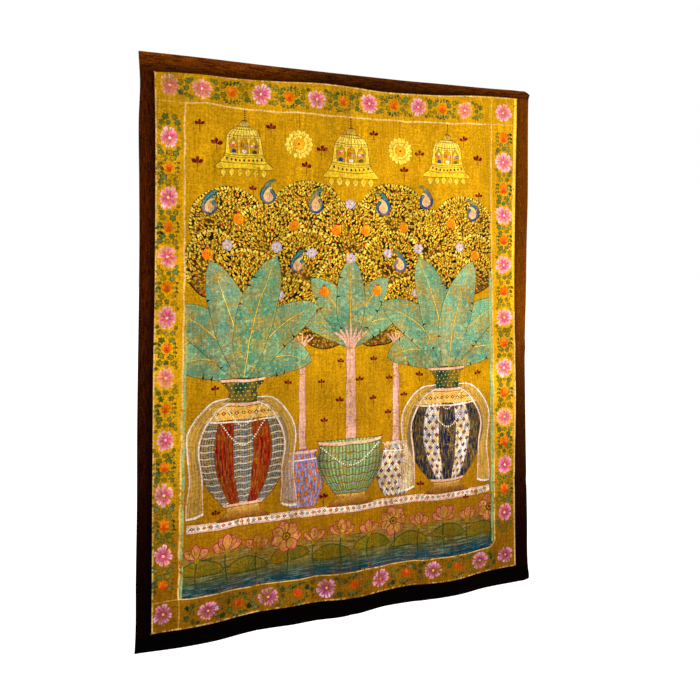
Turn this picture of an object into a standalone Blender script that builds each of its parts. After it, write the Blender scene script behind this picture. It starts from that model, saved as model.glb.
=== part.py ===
"""A painted cotton temple hanging with a dark brown binding, as it hangs from its top edge.

Metres, +Z up. The origin is the middle of the top edge. The painted face looks to -Y,
X runs along the width and the cloth hangs down to about Z = -1.53.
The panel and the four strips of its binding are parts of one hanging sheet: they share one
outline and one set of folds, and each is cut out of it as a piece of its own.
"""

from collections import namedtuple

import bmesh
import bpy
import numpy as np

PANEL_THICKNESS = 0.0012
BINDING_THICKNESS = 0.0024
SEAM_GAP = 0.0003
HANGING_HEIGHT = 1.53
HANGING_WIDTH = 1.16

# Places across the cloth, read at a few depths below the top edge
Across = namedtuple("Across", "down left_edge left_seam right_seam right_edge")
SIDES = [
    Across(0.000, -0.5790, -0.5435, 0.5390, 0.5785),
    Across(0.070, -0.5755, -0.5425, 0.5385, 0.5770),
    Across(0.170, -0.5785, -0.5410, 0.5365, 0.5765),
    Across(0.320, -0.5775, -0.5410, 0.5335, 0.5760),
    Across(0.480, -0.5770, -0.5415, 0.5310, 0.5715),
    Across(0.640, -0.5785, -0.5430, 0.5300, 0.5690),
    Across(0.785, -0.5805, -0.5460, 0.5320, 0.5650),
    Across(0.960, -0.5825, -0.5475, 0.5350, 0.5665),
    Across(1.150, -0.5830, -0.5485, 0.5320, 0.5695),
    Across(1.330, -0.5855, -0.5495, 0.5325, 0.5735),
    Across(1.487, -0.5870, -0.5505, 0.5345, 0.5765),
    Across(1.534, -0.5895, -0.5505, 0.5345, 0.5810),
]

# Places down the cloth, read at a few places across it
Down = namedtuple("Down", "across top_edge top_seam bottom_seam bottom_edge")
ENDS = [
    Down(-0.590, 0.0055, -0.0460, -1.4820, -1.5205),
    Down(-0.530, 0.0050, -0.0405, -1.4815, -1.5245),
    Down(-0.440, 0.0042, -0.0370, -1.4800, -1.5240),
    Down(-0.330, 0.0035, -0.0380, -1.4800, -1.5265),
    Down(-0.220, 0.0020, -0.0350, -1.4790, -1.5265),
    Down(-0.085, 0.0005, -0.0295, -1.4800, -1.5285),
    Down(0.000, 0.0000, -0.0320, -1.4820, -1.5260),
    Down(0.070, 0.0003, -0.0355, -1.4830, -1.5255),
    Down(0.170, 0.0006, -0.0340, -1.4820, -1.5285),
    Down(0.290, 0.0015, -0.0295, -1.4830, -1.5260),
    Down(0.370, 0.0025, -0.0225, -1.4830, -1.5285),
    Down(0.455, 0.0040, -0.0185, -1.4820, -1.5300),
    Down(0.545, 0.0055, -0.0175, -1.4800, -1.5280),
    Down(0.568, 0.0045, -0.0180, -1.4800, -1.5270),
    Down(0.581, -0.0030, -0.0190, -1.4800, -1.5230),
]

# Soft ripples that run down the cloth: how far each stands out, at the top and at the hem.
# They are slight along the top, which is held straight, and grow faster towards the hem.
Ripple = namedtuple("Ripple", "across_top across_hem half_width out_top out_hem")
RIPPLES = [
    Ripple(-0.600, -0.600, 0.10, 0.000, 0.004),
    Ripple(-0.455, -0.435, 0.14, 0.002, 0.010),
    Ripple(-0.270, -0.275, 0.12, -0.001, -0.006),
    Ripple(-0.130, -0.120, 0.08, 0.001, -0.003),
    Ripple(-0.015, -0.010, 0.11, 0.002, 0.009),
    Ripple(0.150, 0.145, 0.12, -0.001, -0.005),
    Ripple(0.300, 0.295, 0.13, 0.002, 0.012),
    Ripple(0.470, 0.460, 0.11, 0.000, -0.005),
]
RIPPLE_GROWTH = 1.4

# Creases from the folding of the stored cloth: the place of both ends, half width and height.
# Those that run down start below the straight top and are softer towards the hem.
Crease = namedtuple("Crease", "runs start end half_width out")
CREASES = [
    Crease("down", -0.272, -0.278, 0.030, -0.0018),
    Crease("down", -0.020, -0.012, 0.026, -0.0035),
    Crease("down", 0.192, 0.206, 0.030, 0.0024),
    Crease("across", 0.785, 0.795, 0.034, 0.0030),
    Crease("across", 1.175, 1.215, 0.032, -0.0024),
]
CREASE_SHARPNESS = 1.6
CREASE_LOSS_AT_HEM = 0.4
STRAIGHT_TOP = 0.08

# The binding is folded over, so its face is a little round: it stands out most at one share of
# the way from its outer edge to its seam, and is pressed flat again before the seam
CROWN_PLACE = 0.33
CROWN_END = 0.75
TOP_BINDING_CROWN = 0.0055
SIDE_BINDING_CROWN = 0.0018
BOTTOM_BINDING_CROWN = 0.0022

# The grid that the sheet is drawn on: cells across the strips and the panel
STRIP_CELLS = 4
PANEL_COLUMNS = 34
PANEL_ROWS = 42

PANEL_COLOUR = (0.52, 0.30, 0.025, 1.0)
BINDING_COLOUR = (0.035, 0.010, 0.004, 1.0)


def read_table(table, column, places):
    """A table's column on a smooth curve through its rows, at places along its first column."""
    knots = np.array([row[0] for row in table])
    values = np.array([getattr(row, column) for row in table])
    slopes = np.gradient(values, knots)
    places = np.clip(places, knots[0], knots[-1])
    low = np.clip(np.searchsorted(knots, places) - 1, 0, len(knots) - 2)
    span = knots[low + 1] - knots[low]
    t = (places - knots[low]) / span
    start = (1 + 2 * t) * (1 - t) ** 2 * values[low] + t * (1 - t) ** 2 * span * slopes[low]
    end = t**2 * (3 - 2 * t) * values[low + 1] + t**2 * (t - 1) * span * slopes[low + 1]
    return start + end


def bump(distance, half_width):
    """A rounded rise from 0 at half_width to 1 at the middle."""
    near = np.clip(np.abs(distance) / half_width, 0, 1)
    return 0.5 * (1 + np.cos(np.pi * near))


def crest(distance, half_width):
    """A sharper rise, for the line of a crease."""
    return np.clip(1 - np.abs(distance) / half_width, 0, 1) ** CREASE_SHARPNESS


def forward(across, down):
    """How far the sheet's middle stands out of its flat plane, at a place on it."""
    share = np.clip(down / HANGING_HEIGHT, 0, 1)
    total = np.zeros_like(across)
    for ripple in RIPPLES:
        middle = ripple.across_top + (ripple.across_hem - ripple.across_top) * share
        out = ripple.out_top + (ripple.out_hem - ripple.out_top) * share**RIPPLE_GROWTH
        total += out * bump(across - middle, ripple.half_width)
    for crease in CREASES:
        if crease.runs == "down":
            line = crease.start + (crease.end - crease.start) * share
            height = crease.out * (1 - CREASE_LOSS_AT_HEM * share) * np.clip(down / STRAIGHT_TOP, 0, 1)
            total += height * crest(across - line, crease.half_width)
        else:
            line = crease.start + (crease.end - crease.start) * (across / HANGING_WIDTH + 0.5)
            total += crease.out * crest(down - line, crease.half_width)
    return total


def crown(column, row, last_column, last_row):
    """How far the round face of the binding stands out, from grid positions."""
    left = np.clip(column / STRIP_CELLS, 0, 1)
    right = np.clip((last_column - column) / STRIP_CELLS, 0, 1)
    top = np.clip(row / STRIP_CELLS, 0, 1)
    bottom = np.clip((last_row - row) / STRIP_CELLS, 0, 1)
    reach = CROWN_END - CROWN_PLACE
    on_top = TOP_BINDING_CROWN * bump(top - CROWN_PLACE, reach)
    on_bottom = BOTTOM_BINDING_CROWN * bump(bottom - CROWN_PLACE, reach)
    on_left = SIDE_BINDING_CROWN * bump(left - CROWN_PLACE, reach)
    on_right = SIDE_BINDING_CROWN * bump(right - CROWN_PLACE, reach)
    between = (top >= 1) & (bottom >= 1)
    return np.where(between, on_left + on_right, on_top + on_bottom)


def between_strips(position, cells, places):
    """A place from a grid position: strip, panel and strip, each cut into its own cells."""
    first_edge, first_seam, last_seam, last_edge = places
    panel_cells = cells - 2 * STRIP_CELLS
    into_panel = np.clip(position - STRIP_CELLS, 0, panel_cells) / panel_cells
    into_first = np.clip(position, 0, STRIP_CELLS) / STRIP_CELLS
    into_last = np.clip(position - STRIP_CELLS - panel_cells, 0, STRIP_CELLS) / STRIP_CELLS
    return (
        first_edge
        + (first_seam - first_edge) * into_first
        + (last_seam - first_seam) * into_panel
        + (last_edge - last_seam) * into_last
    )


def across_sheet(column, columns, down):
    """X of a grid column at a depth below the top edge."""
    names = ("left_edge", "left_seam", "right_seam", "right_edge")
    return between_strips(column, columns, [read_table(SIDES, name, down) for name in names])


def down_sheet(row, rows, across):
    """Z of a grid row at a place across the cloth."""
    names = ("top_edge", "top_seam", "bottom_seam", "bottom_edge")
    return between_strips(row, rows, [read_table(ENDS, name, across) for name in names])


def sheet_points():
    """The middle surface of the whole hanging, as points on its grid of rows and columns."""
    columns = PANEL_COLUMNS + 2 * STRIP_CELLS
    rows = PANEL_ROWS + 2 * STRIP_CELLS
    column, row = np.meshgrid(np.arange(columns + 1.0), np.arange(rows + 1.0))
    across = across_sheet(column, columns, row / rows * HANGING_HEIGHT)
    height = down_sheet(row, rows, across)
    across = across_sheet(column, columns, -height)
    height = down_sheet(row, rows, across)
    out = forward(across, -height) + crown(column, row, columns, rows)
    return np.stack([across, -out, height], axis=-1)


def part_at_seams(points, seams):
    """Draws a piece back from its sewn sides, so that it stands clear of its neighbours."""
    back = SEAM_GAP / 2
    for axis, edge, inner in seams:
        outer_line = np.take(points, edge, axis=axis)
        inner_line = np.take(points, inner, axis=axis)
        step = inner_line - outer_line
        step *= back / np.linalg.norm(step, axis=-1, keepdims=True)
        index = (edge, slice(None)) if axis == 0 else (slice(None), edge)
        points[index] = outer_line + step
    return points


def material(name, colour, roughness):
    """A plain cloth finish."""
    finish = bpy.data.materials.new(name)
    finish.use_nodes = True
    shader = finish.node_tree.nodes["Principled BSDF"]
    shader.inputs["Base Color"].default_value = colour
    shader.inputs["Roughness"].default_value = roughness
    shader.inputs["Metallic"].default_value = 0.0
    return finish


def cloth_piece(name, points, thickness, finish, collection):
    """A grid laid on the given rows and columns of points, and thickened on both sides."""
    rows, columns = points.shape[0] - 1, points.shape[1] - 1
    mesh = bpy.data.meshes.new(name)
    grid = bmesh.new()
    bmesh.ops.create_grid(grid, x_segments=columns, y_segments=rows, size=0.5)
    for corner in grid.verts:
        column = round((corner.co.x + 0.5) * columns)
        row = round((0.5 - corner.co.y) * rows)
        corner.co = points[row, column]
    bmesh.ops.recalc_face_normals(grid, faces=grid.faces)
    grid.to_mesh(mesh)
    grid.free()
    mesh.shade_smooth()
    piece = bpy.data.objects.new(name, mesh)
    collection.objects.link(piece)
    solid = piece.modifiers.new("Thickness", "SOLIDIFY")
    solid.thickness = thickness
    solid.offset = 0.0
    solid.use_even_offset = False
    mesh.materials.append(finish)
    return piece


def build():
    """The panel and its four strips, cut from the one sheet along its seams."""
    for old in list(bpy.data.objects):
        bpy.data.objects.remove(old)
    collection = bpy.data.collections.new("painted_hanging")
    bpy.context.scene.collection.children.link(collection)

    sheet = sheet_points()
    last_column = sheet.shape[1] - 1
    last_row = sheet.shape[0] - 1
    left, right = STRIP_CELLS, last_column - STRIP_CELLS
    top, bottom = STRIP_CELLS, last_row - STRIP_CELLS

    # Each seam is the grid axis that it bounds, its own line and the next line inside
    first_row, end_row = (0, 0, 1), (0, -1, -2)
    first_column, end_column = (1, 0, 1), (1, -1, -2)
    panel = part_at_seams(
        sheet[top : bottom + 1, left : right + 1].copy(),
        [first_row, end_row, first_column, end_column],
    )
    strip_left = part_at_seams(
        sheet[top : bottom + 1, : left + 1].copy(), [first_row, end_row, end_column]
    )
    strip_right = part_at_seams(
        sheet[top : bottom + 1, right:].copy(), [first_row, end_row, first_column]
    )
    strip_top = part_at_seams(sheet[: top + 1].copy(), [end_row])
    strip_bottom = part_at_seams(sheet[bottom:].copy(), [first_row])

    painted = material("painted_cotton", PANEL_COLOUR, 0.75)
    cloth_piece("painted_panel", panel, PANEL_THICKNESS, painted, collection)
    strips = {
        "binding_top": strip_top,
        "binding_bottom": strip_bottom,
        "binding_left": strip_left,
        "binding_right": strip_right,
    }
    for name, points in strips.items():
        brown = material(name + "_cloth", BINDING_COLOUR, 0.85)
        cloth_piece(name, points, BINDING_THICKNESS, brown, collection)


build()
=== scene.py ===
"""The looks of a painted cotton temple hanging with a dark brown binding.

The painted panel and the four folded strips of its binding are thin cloth on the same folds as
the solids. The painting is flat shapes that are laid on in order, cut into one mesh, and set on
the folded cloth. Its flower border, frame lines and scattered sprigs follow the real hanging.
The large field inside holds a design of its own: bells and round flowers on cords, a crown of
small leaves, vessels with fans of broad leaves, and a frieze of palmettes on water.
"""

import math
from collections import namedtuple

import bpy
import numpy as np
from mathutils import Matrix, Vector
from mathutils.geometry import delaunay_2d_cdt


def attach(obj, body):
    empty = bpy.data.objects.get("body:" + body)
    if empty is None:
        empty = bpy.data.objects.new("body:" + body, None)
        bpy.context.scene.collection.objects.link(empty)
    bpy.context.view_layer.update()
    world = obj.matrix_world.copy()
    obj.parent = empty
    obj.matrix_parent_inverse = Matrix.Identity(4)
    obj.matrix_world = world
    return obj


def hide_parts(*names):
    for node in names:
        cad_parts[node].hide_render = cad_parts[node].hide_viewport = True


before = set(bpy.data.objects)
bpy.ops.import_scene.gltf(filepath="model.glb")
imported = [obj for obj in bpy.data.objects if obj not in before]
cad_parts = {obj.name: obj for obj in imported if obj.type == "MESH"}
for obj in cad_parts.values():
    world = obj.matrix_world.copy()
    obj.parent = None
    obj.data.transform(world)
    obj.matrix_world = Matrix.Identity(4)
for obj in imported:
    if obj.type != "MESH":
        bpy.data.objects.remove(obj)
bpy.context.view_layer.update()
random = np.random.default_rng(11)

# The hanging's own sizes, as in its solids
PANEL_THICKNESS = 0.0012
BINDING_THICKNESS = 0.0024
SEAM_GAP = 0.0003
HANGING_HEIGHT = 1.53
HANGING_WIDTH = 1.16

Across = namedtuple("Across", "down left_edge left_seam right_seam right_edge")
SIDES = [
    Across(0.000, -0.5790, -0.5435, 0.5390, 0.5785),
    Across(0.070, -0.5755, -0.5425, 0.5385, 0.5770),
    Across(0.170, -0.5785, -0.5410, 0.5365, 0.5765),
    Across(0.320, -0.5775, -0.5410, 0.5335, 0.5760),
    Across(0.480, -0.5770, -0.5415, 0.5310, 0.5715),
    Across(0.640, -0.5785, -0.5430, 0.5300, 0.5690),
    Across(0.785, -0.5805, -0.5460, 0.5320, 0.5650),
    Across(0.960, -0.5825, -0.5475, 0.5350, 0.5665),
    Across(1.150, -0.5830, -0.5485, 0.5320, 0.5695),
    Across(1.330, -0.5855, -0.5495, 0.5325, 0.5735),
    Across(1.487, -0.5870, -0.5505, 0.5345, 0.5765),
    Across(1.534, -0.5895, -0.5505, 0.5345, 0.5810),
]

Down = namedtuple("Down", "across top_edge top_seam bottom_seam bottom_edge")
ENDS = [
    Down(-0.590, 0.0055, -0.0460, -1.4820, -1.5205),
    Down(-0.530, 0.0050, -0.0405, -1.4815, -1.5245),
    Down(-0.440, 0.0042, -0.0370, -1.4800, -1.5240),
    Down(-0.330, 0.0035, -0.0380, -1.4800, -1.5265),
    Down(-0.220, 0.0020, -0.0350, -1.4790, -1.5265),
    Down(-0.085, 0.0005, -0.0295, -1.4800, -1.5285),
    Down(0.000, 0.0000, -0.0320, -1.4820, -1.5260),
    Down(0.070, 0.0003, -0.0355, -1.4830, -1.5255),
    Down(0.170, 0.0006, -0.0340, -1.4820, -1.5285),
    Down(0.290, 0.0015, -0.0295, -1.4830, -1.5260),
    Down(0.370, 0.0025, -0.0225, -1.4830, -1.5285),
    Down(0.455, 0.0040, -0.0185, -1.4820, -1.5300),
    Down(0.545, 0.0055, -0.0175, -1.4800, -1.5280),
    Down(0.568, 0.0045, -0.0180, -1.4800, -1.5270),
    Down(0.581, -0.0030, -0.0190, -1.4800, -1.5230),
]

Ripple = namedtuple("Ripple", "across_top across_hem half_width out_top out_hem")
RIPPLES = [
    Ripple(-0.600, -0.600, 0.10, 0.000, 0.004),
    Ripple(-0.455, -0.435, 0.14, 0.002, 0.010),
    Ripple(-0.270, -0.275, 0.12, -0.001, -0.006),
    Ripple(-0.130, -0.120, 0.08, 0.001, -0.003),
    Ripple(-0.015, -0.010, 0.11, 0.002, 0.009),
    Ripple(0.150, 0.145, 0.12, -0.001, -0.005),
    Ripple(0.300, 0.295, 0.13, 0.002, 0.012),
    Ripple(0.470, 0.460, 0.11, 0.000, -0.005),
]
RIPPLE_GROWTH = 1.4

Crease = namedtuple("Crease", "runs start end half_width out")
CREASES = [
    Crease("down", -0.272, -0.278, 0.030, -0.0018),
    Crease("down", -0.020, -0.012, 0.026, -0.0035),
    Crease("down", 0.192, 0.206, 0.030, 0.0024),
    Crease("across", 0.785, 0.795, 0.034, 0.0030),
    Crease("across", 1.175, 1.215, 0.032, -0.0024),
]
CREASE_SHARPNESS = 1.6
CREASE_LOSS_AT_HEM = 0.4
STRAIGHT_TOP = 0.08

CROWN_PLACE = 0.33
CROWN_END = 0.75
TOP_BINDING_CROWN = 0.0055
SIDE_BINDING_CROWN = 0.0018
BOTTOM_BINDING_CROWN = 0.0022

# The sheet: how far apart its points lie, on the front and on the back
EDGE_STEP = 0.008
FRONT_STEP = 0.020
BACK_STEP = 0.024
LONGEST_EDGE = 0.024
LAP = 0.0026          # how far the binding's turned edge lies over the panel
PLY = 0.00075         # thickness of the binding cloth, which is folded round the panel's edge
LAP_CLEARANCE = 0.00015
STRIP_STEP = 0.005

# The camera stands level, a step to the left, and its picture is framed lower by the shift
CAMERA_PLACE = (-0.5516, -1.6134, -0.5355)
CAMERA_TURN = -18.45
CAMERA_LENS = 30.857
CAMERA_SHIFT = -0.1229
SENSOR_WIDTH = 36.0

# The light: a soft spot lamp from the upper right, a lamp over the floor, and an even light
KEY_PLACE = (1.90, -2.02, -0.30)
KEY_AIM = (0.333, 0.0, -0.567)
KEY_POWER = 223.0
KEY_ANGLE = 42.8
KEY_RADIUS = 0.22
KEY_COLOUR = (1.0, 0.97, 0.92)
OVERHEAD_PLACE = (0.0, 0.0, 4.0)
OVERHEAD_POWER = 2.3
OVERHEAD_ANGLE = 25
EVEN_STRENGTH = 0.73
SEEN_STRENGTH = 1.0     # of the plain backdrop that the camera sees
FLOOR_LEVEL = -2.05
FLOOR_REACH = 40.0

# Where the figures of the field stand: places across and heights
DESIGN_MIDDLE = -0.012
URNS = (-0.314, 0.290)
POTS = (-0.152, 0.128)
URN_FAN_FOOT = -0.852
STEP_TOP = -1.214
STEP_FOOT = -1.236
STEP_ENDS = (-0.462, 0.440)
SAG = 0.06              # how far a line round a vessel hangs in its middle, as a share of half its width
SPRIG_CLEARANCE = 0.007
FIGURE_REACH = 0.75     # no figure lies farther from the first point of its outline
DULL_FROM = -0.75j      # the ground darkens with soil between these heights
DULL_TO = -1.42j

# The binding: puckers and slow swells, and extra cuts near a strip's ends, as shares of its length.
# The strip laps over the panel only past LAP_BEGINS, and by a small share of the lap before that.
PUCKER_DEPTH = 0.00016
SWELL_DEPTH = 0.00022
END_CUTS = {"across": (0.0010, 0.0022, 0.0345, 0.0360), "down": (0.0012, 0.0028, 0.0042)}
LAP_BEGINS = {"across": 0.0320, "down": 0.0030}
CORNER_LAP_SHARE = 0.12
SHARP_FROM = 55         # degrees at which an edge of a strip looks sharp

# A drawn line's waver, broad and fine
WAVER = 0.0009
FINE_WAVER = 0.0006

# Cut lines along the creases: their two ends inside the panel, and how many places they hold
CUT_DOWN = (-0.060, -1.470, 60)
CUT_ACROSS = (-0.535, 0.525, 46)
CUT_TOLERANCE = 1e-6

# The panel's flat map: the face's share of it, its margin, and the size and place of the back
MAP_FILL = 0.995
MAP_MARGIN = 0.002
BACK_MAP_SIZE = 0.31
BACK_MAP_PLACE = (0.757, 0.0)

# The finishes: the threads, the clouds of wear over the whole cloth, and the depth of the relief
WEFT_SHARE = 0.30
WARP_SHARE = 0.20
Cloud = namedtuple("Cloud", "across down detail low high first last")
CLOUDS = [
    Cloud(0.13, 0.17, 4.0, 0.34, 0.66, 1.14, 0.84),
    Cloud(0.0052, 0.0050, 2.0, 0.34, 0.66, 0.80, 1.16),
    Cloud(0.0045, 0.060, 2.0, 0.36, 0.64, 0.90, 1.09),
    Cloud(0.020, 0.60, 2.0, 0.36, 0.64, 0.93, 1.06),
]
# Painted shade in the wrinkles, and how much of a darker brown goes along the crease lines
WRINKLE_SHADE = 0.84
CREASE_DARK_SHARE = 0.30
CLOTH_RELIEF = 0.0006
BINDING_RELIEF = 0.0008

# The small leaves of the crown: their layers and sizes, and how far each turns from its lobe's foot
LEAF_LAYERS = ((0.0, 0.0, 0.0), (0.0713, 0.0391, 0.0), (0.0267, 0.0959, 0.0), (0.0531, 0.0147, 0.0))
LEAF_CELL = 0.0128
LEAF_HALF_LENGTH = 0.0052
LEAF_HALF_WIDTH = 0.0025
LEAF_SWAY = (1.8, 1.8, 0.0)
BERRY_CELL = 0.0210

# Colours as they look in full light, in the usual 0 to 255 scale
GOLD = (205, 147, 6)
# Painted light: a lighter gold for the border's side bands
PAINTED_LIGHT_GOLD = (228, 164, 8)
DULL_GOLD = (148, 94, 3)
CREAM = (248, 208, 134)
WARM_CREAM = (232, 172, 66)
PINK = (250, 166, 180)
MAGENTA = (226, 40, 116)
MAUVE = (210, 136, 172)
WINE = (146, 20, 76)
EYE = (252, 240, 170)
ORANGE = (250, 124, 12)
RUST = (190, 36, 6)
EMBER = (214, 78, 12)
GREEN = (92, 112, 46)
DARK_GREEN = (46, 66, 28)
OXBLOOD = (104, 2, 6)
TEAL = (122, 174, 132)
DEEP_TEAL = (66, 124, 100)
YELLOW = (246, 202, 36)
PALE_YELLOW = (252, 220, 84)
BROWN = (104, 50, 16)
BOTTLE = (30, 66, 44)
RED = (150, 24, 8)
LILAC = (156, 134, 182)
WHITE = (246, 230, 206)
SLATE = (96, 128, 144)
NAVY = (26, 32, 58)
MINT = (150, 184, 118)
BLUSH = (242, 184, 152)
ROSY_BROWN = (204, 146, 134)
ROSY_WHITE = (232, 200, 176)
SASH = (214, 176, 110)
SHALLOW = (128, 112, 42)
DEEP = (4, 62, 84)
PALE_WATER = (150, 148, 104)
DARK_WATER = (10, 40, 40)
PAD_GOLD = (132, 106, 10)
PAD_GREEN = (86, 88, 22)
PETAL_GOLD = (206, 146, 60)
PETAL_ROSE = (208, 106, 98)
OCHRE = (172, 146, 62)
PALE_GREEN = (172, 206, 156)
UMBER = (112, 78, 26)
LEAF_YELLOW = (248, 208, 74)
OLIVE = (146, 126, 16)
PEACH = (240, 182, 84)
STRAW = (252, 214, 78)
CRIMSON = (160, 16, 60)
BLUE = (24, 62, 128)
BLACK = (20, 16, 8)
CERISE = (200, 14, 96)
VIOLET = (86, 66, 128)
PALE_BLUE = (122, 138, 172)
SAND = (230, 188, 92)
PLUM = (74, 8, 58)
DEEP_LEAF = (216, 152, 26)
PALE_LEAF = (255, 216, 62)
LOW_LEAF = (160, 112, 36)
BERRY = (206, 44, 10)
CREASE_DARK_BROWN = (112, 72, 16)
BARE_COTTON = (206, 178, 128)
STAINED_COTTON = (178, 136, 66)
SHEEN = (220, 96, 16)
# Golden specks on the binding, partly real and partly painted glints of light on the pile
SPECK_AND_GLINT = (190, 122, 26)
# Painted shade: the binding's streak colours at its foot, near black
PAINTED_SHADE_AT_FOOT = ((9, 0, 0), (20, 2, 0))    # dark and light shades at the binding's foot


# The folded sheet


def read_table(table, column, places):
    """A table's column on a smooth curve through its rows, at places along its first column."""
    knots = np.array([row[0] for row in table])
    values = np.array([getattr(row, column) for row in table])
    slopes = np.gradient(values, knots)
    places = np.clip(places, knots[0], knots[-1])
    low = np.clip(np.searchsorted(knots, places) - 1, 0, len(knots) - 2)
    span = knots[low + 1] - knots[low]
    t = (places - knots[low]) / span
    start = (1 + 2 * t) * (1 - t) ** 2 * values[low] + t * (1 - t) ** 2 * span * slopes[low]
    end = t**2 * (3 - 2 * t) * values[low + 1] + t**2 * (t - 1) * span * slopes[low + 1]
    return start + end


def bump(distance, half_width):
    """A rounded rise from 0 at half_width to 1 at the middle."""
    near = np.clip(np.abs(distance) / half_width, 0, 1)
    return 0.5 * (1 + np.cos(np.pi * near))


def crest(distance, half_width):
    """A sharper rise, for the line of a crease."""
    return np.clip(1 - np.abs(distance) / half_width, 0, 1) ** CREASE_SHARPNESS


def forward(across, down):
    """How far the sheet's middle stands out of its flat plane, at a place on it."""
    share = np.clip(down / HANGING_HEIGHT, 0, 1)
    total = np.zeros_like(across)
    for ripple in RIPPLES:
        middle = ripple.across_top + (ripple.across_hem - ripple.across_top) * share
        out = ripple.out_top + (ripple.out_hem - ripple.out_top) * share**RIPPLE_GROWTH
        total += out * bump(across - middle, ripple.half_width)
    for crease in CREASES:
        if crease.runs == "down":
            line = crease.start + (crease.end - crease.start) * share
            height = crease.out * (1 - CREASE_LOSS_AT_HEM * share) * np.clip(down / STRAIGHT_TOP, 0, 1)
            total += height * crest(across - line, crease.half_width)
        else:
            line = crease.start + (crease.end - crease.start) * (across / HANGING_WIDTH + 0.5)
            total += crease.out * crest(down - line, crease.half_width)
    return total


def facing(places):
    """The direction that the folded sheet faces at flat places."""
    step = 0.0005
    across, down = places.real, -places.imag
    side = (forward(across + step, down) - forward(across - step, down)) / (2 * step)
    fall = (forward(across, down + step) - forward(across, down - step)) / (2 * step)
    normal = np.stack([-side, -np.ones_like(side), fall], axis=-1)
    return normal / np.linalg.norm(normal, axis=-1, keepdims=True)


def on_folds(places, out):
    """Flat places, set on the folds and out from the sheet's middle."""
    depth = forward(places.real, -places.imag) + out
    return np.stack([places.real, -depth, places.imag], axis=-1)


def on_sheet(across_share, down_share, sides, ends):
    """Flat places at shares of the way between two lines down and two lines across."""
    low, high = read_table(SIDES, sides[0], 0.7), read_table(SIDES, sides[1], 0.7)
    across = low + (high - low) * across_share
    for _ in range(3):
        first = read_table(ENDS, ends[0], across)
        last = read_table(ENDS, ends[1], across)
        height = first + (last - first) * down_share
        low, high = read_table(SIDES, sides[0], -height), read_table(SIDES, sides[1], -height)
        across = low + (high - low) * across_share
    return across + 1j * height


# Shapes. A place on the flat cloth is a complex number: across, and 1j times up.


def toward(degrees):
    """A step of length 1, at an angle from straight right."""
    return np.exp(1j * np.radians(degrees))


def smooth(points, steps=6, closed=False):
    """A smooth curve through points."""
    knots = np.asarray(points, complex)
    if closed:
        knots = np.concatenate([knots[-1:], knots, knots[:2]])
    else:
        knots = np.concatenate([[2 * knots[0] - knots[1]], knots, [2 * knots[-1] - knots[-2]]])
    t = np.arange(steps) / steps
    a, b, c, d = (knots[i : len(knots) - 3 + i, None] for i in range(4))
    curve = b + 0.5 * (
        (c - a) * t + (2 * a - 5 * b + 4 * c - d) * t**2 + (3 * b - a - 3 * c + d) * t**3
    )
    return curve.ravel() if closed else np.append(curve.ravel(), knots[-2])


def direction(line):
    """The way that a line runs at each of its places, as steps of length 1."""
    ahead = np.gradient(line)
    return ahead / np.abs(ahead)


def ribbon(line, width, ends=0.35):
    """The outline of a brush line, which is thinner at its ends."""
    line = np.asarray(line, complex)
    ahead = direction(line)
    share = np.linspace(0, 1, len(line))
    half = width / 2 * (ends + (1 - ends) * np.sqrt(np.abs(np.sin(np.pi * share))))
    return np.concatenate([line - 1j * ahead * half, (line + 1j * ahead * half)[::-1]])


def midrib(base, tip, bend, steps=8):
    """Places on a line from base to tip, bowed by bend."""
    t = np.linspace(0, 1, steps + 1)
    return base + (tip - base) * (t + 1j * bend * np.sin(np.pi * t))


def leaf(base, tip, width, bend=0.0, belly=0.45, steps=8, blunt=1.0):
    """An almond shape from base to tip, widest at belly, bowed by bend, rounder when blunt is small."""
    middle = midrib(base, tip, bend, steps)
    ahead = direction(middle)
    t = np.linspace(0, 1, steps + 1) ** (math.log(0.5) / math.log(belly))
    half = width / 2 * np.abs(np.sin(np.pi * t)) ** blunt
    left = middle + 1j * ahead * half
    return np.concatenate([middle[:1], (middle - 1j * ahead * half)[1:-1], middle[-1:], left[-2:0:-1]])


def circle(middle, radius, lobes=0, depth=0.0, sides=14, turn=0.0, tall=1.0):
    """A round outline, which may be flatter than wide and may have lobes."""
    angle = np.linspace(0, 2 * np.pi, sides, endpoint=False)
    reach = radius * (1 + depth * np.cos(lobes * (angle - np.radians(turn))))
    return middle + reach * (np.cos(angle) + 1j * tall * np.sin(angle))


def anticlockwise(outline):
    outline = np.asarray(outline, complex)
    around = (outline.conj() * np.roll(outline, -1)).imag.sum()
    return outline if around > 0 else outline[::-1]


def with_more_points(outline):
    """An outline with points along its long edges, so that these follow the folds too."""
    reach = np.roll(outline, -1) - outline
    counts = np.maximum(1, np.ceil(np.abs(reach) / LONGEST_EDGE)).astype(int)
    number = np.concatenate([np.arange(count) for count in counts])
    return np.repeat(outline, counts) + np.repeat(reach / counts, counts) * number


def grow(outline, by):
    """An outline moved outward all round."""
    outline = anticlockwise(outline)
    ahead = np.roll(outline, -1) - np.roll(outline, 1)
    return outline - 1j * ahead / np.abs(ahead) * by


def covers(outline, place):
    """Whether a place lies inside an outline."""
    a, b = outline - place, np.roll(outline, -1) - place
    crossing = (a.imag > 0) != (b.imag > 0)
    a, b = a[crossing], b[crossing]
    meets = a.real - a.imag * (b.real - a.real) / (b.imag - a.imag)
    return np.count_nonzero(meets > 0) % 2 == 1


def by_hand(outline):
    """A drawing isn't ruled: it wavers a little, alike for all that is drawn near a place."""
    x, z = outline.real, outline.imag
    across = WAVER * np.sin(57 * z + 9 * x) + FINE_WAVER * np.sin(131 * x + 71 * z + 2)
    up = WAVER * np.sin(49 * x - 13 * z + 1) + FINE_WAVER * np.sin(113 * z - 83 * x)
    return outline + across + 1j * up


# The paint. Marks are kept in the order in which they are laid on.

KINDS = ("plain", "leaflets", "frond", "water", "checks", "small_leaves", "florets", "pleats", "bare")
Mark = namedtuple("Mark", "outline near far start end cover spread wear kind within local")
marks = []
taken = []


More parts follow.
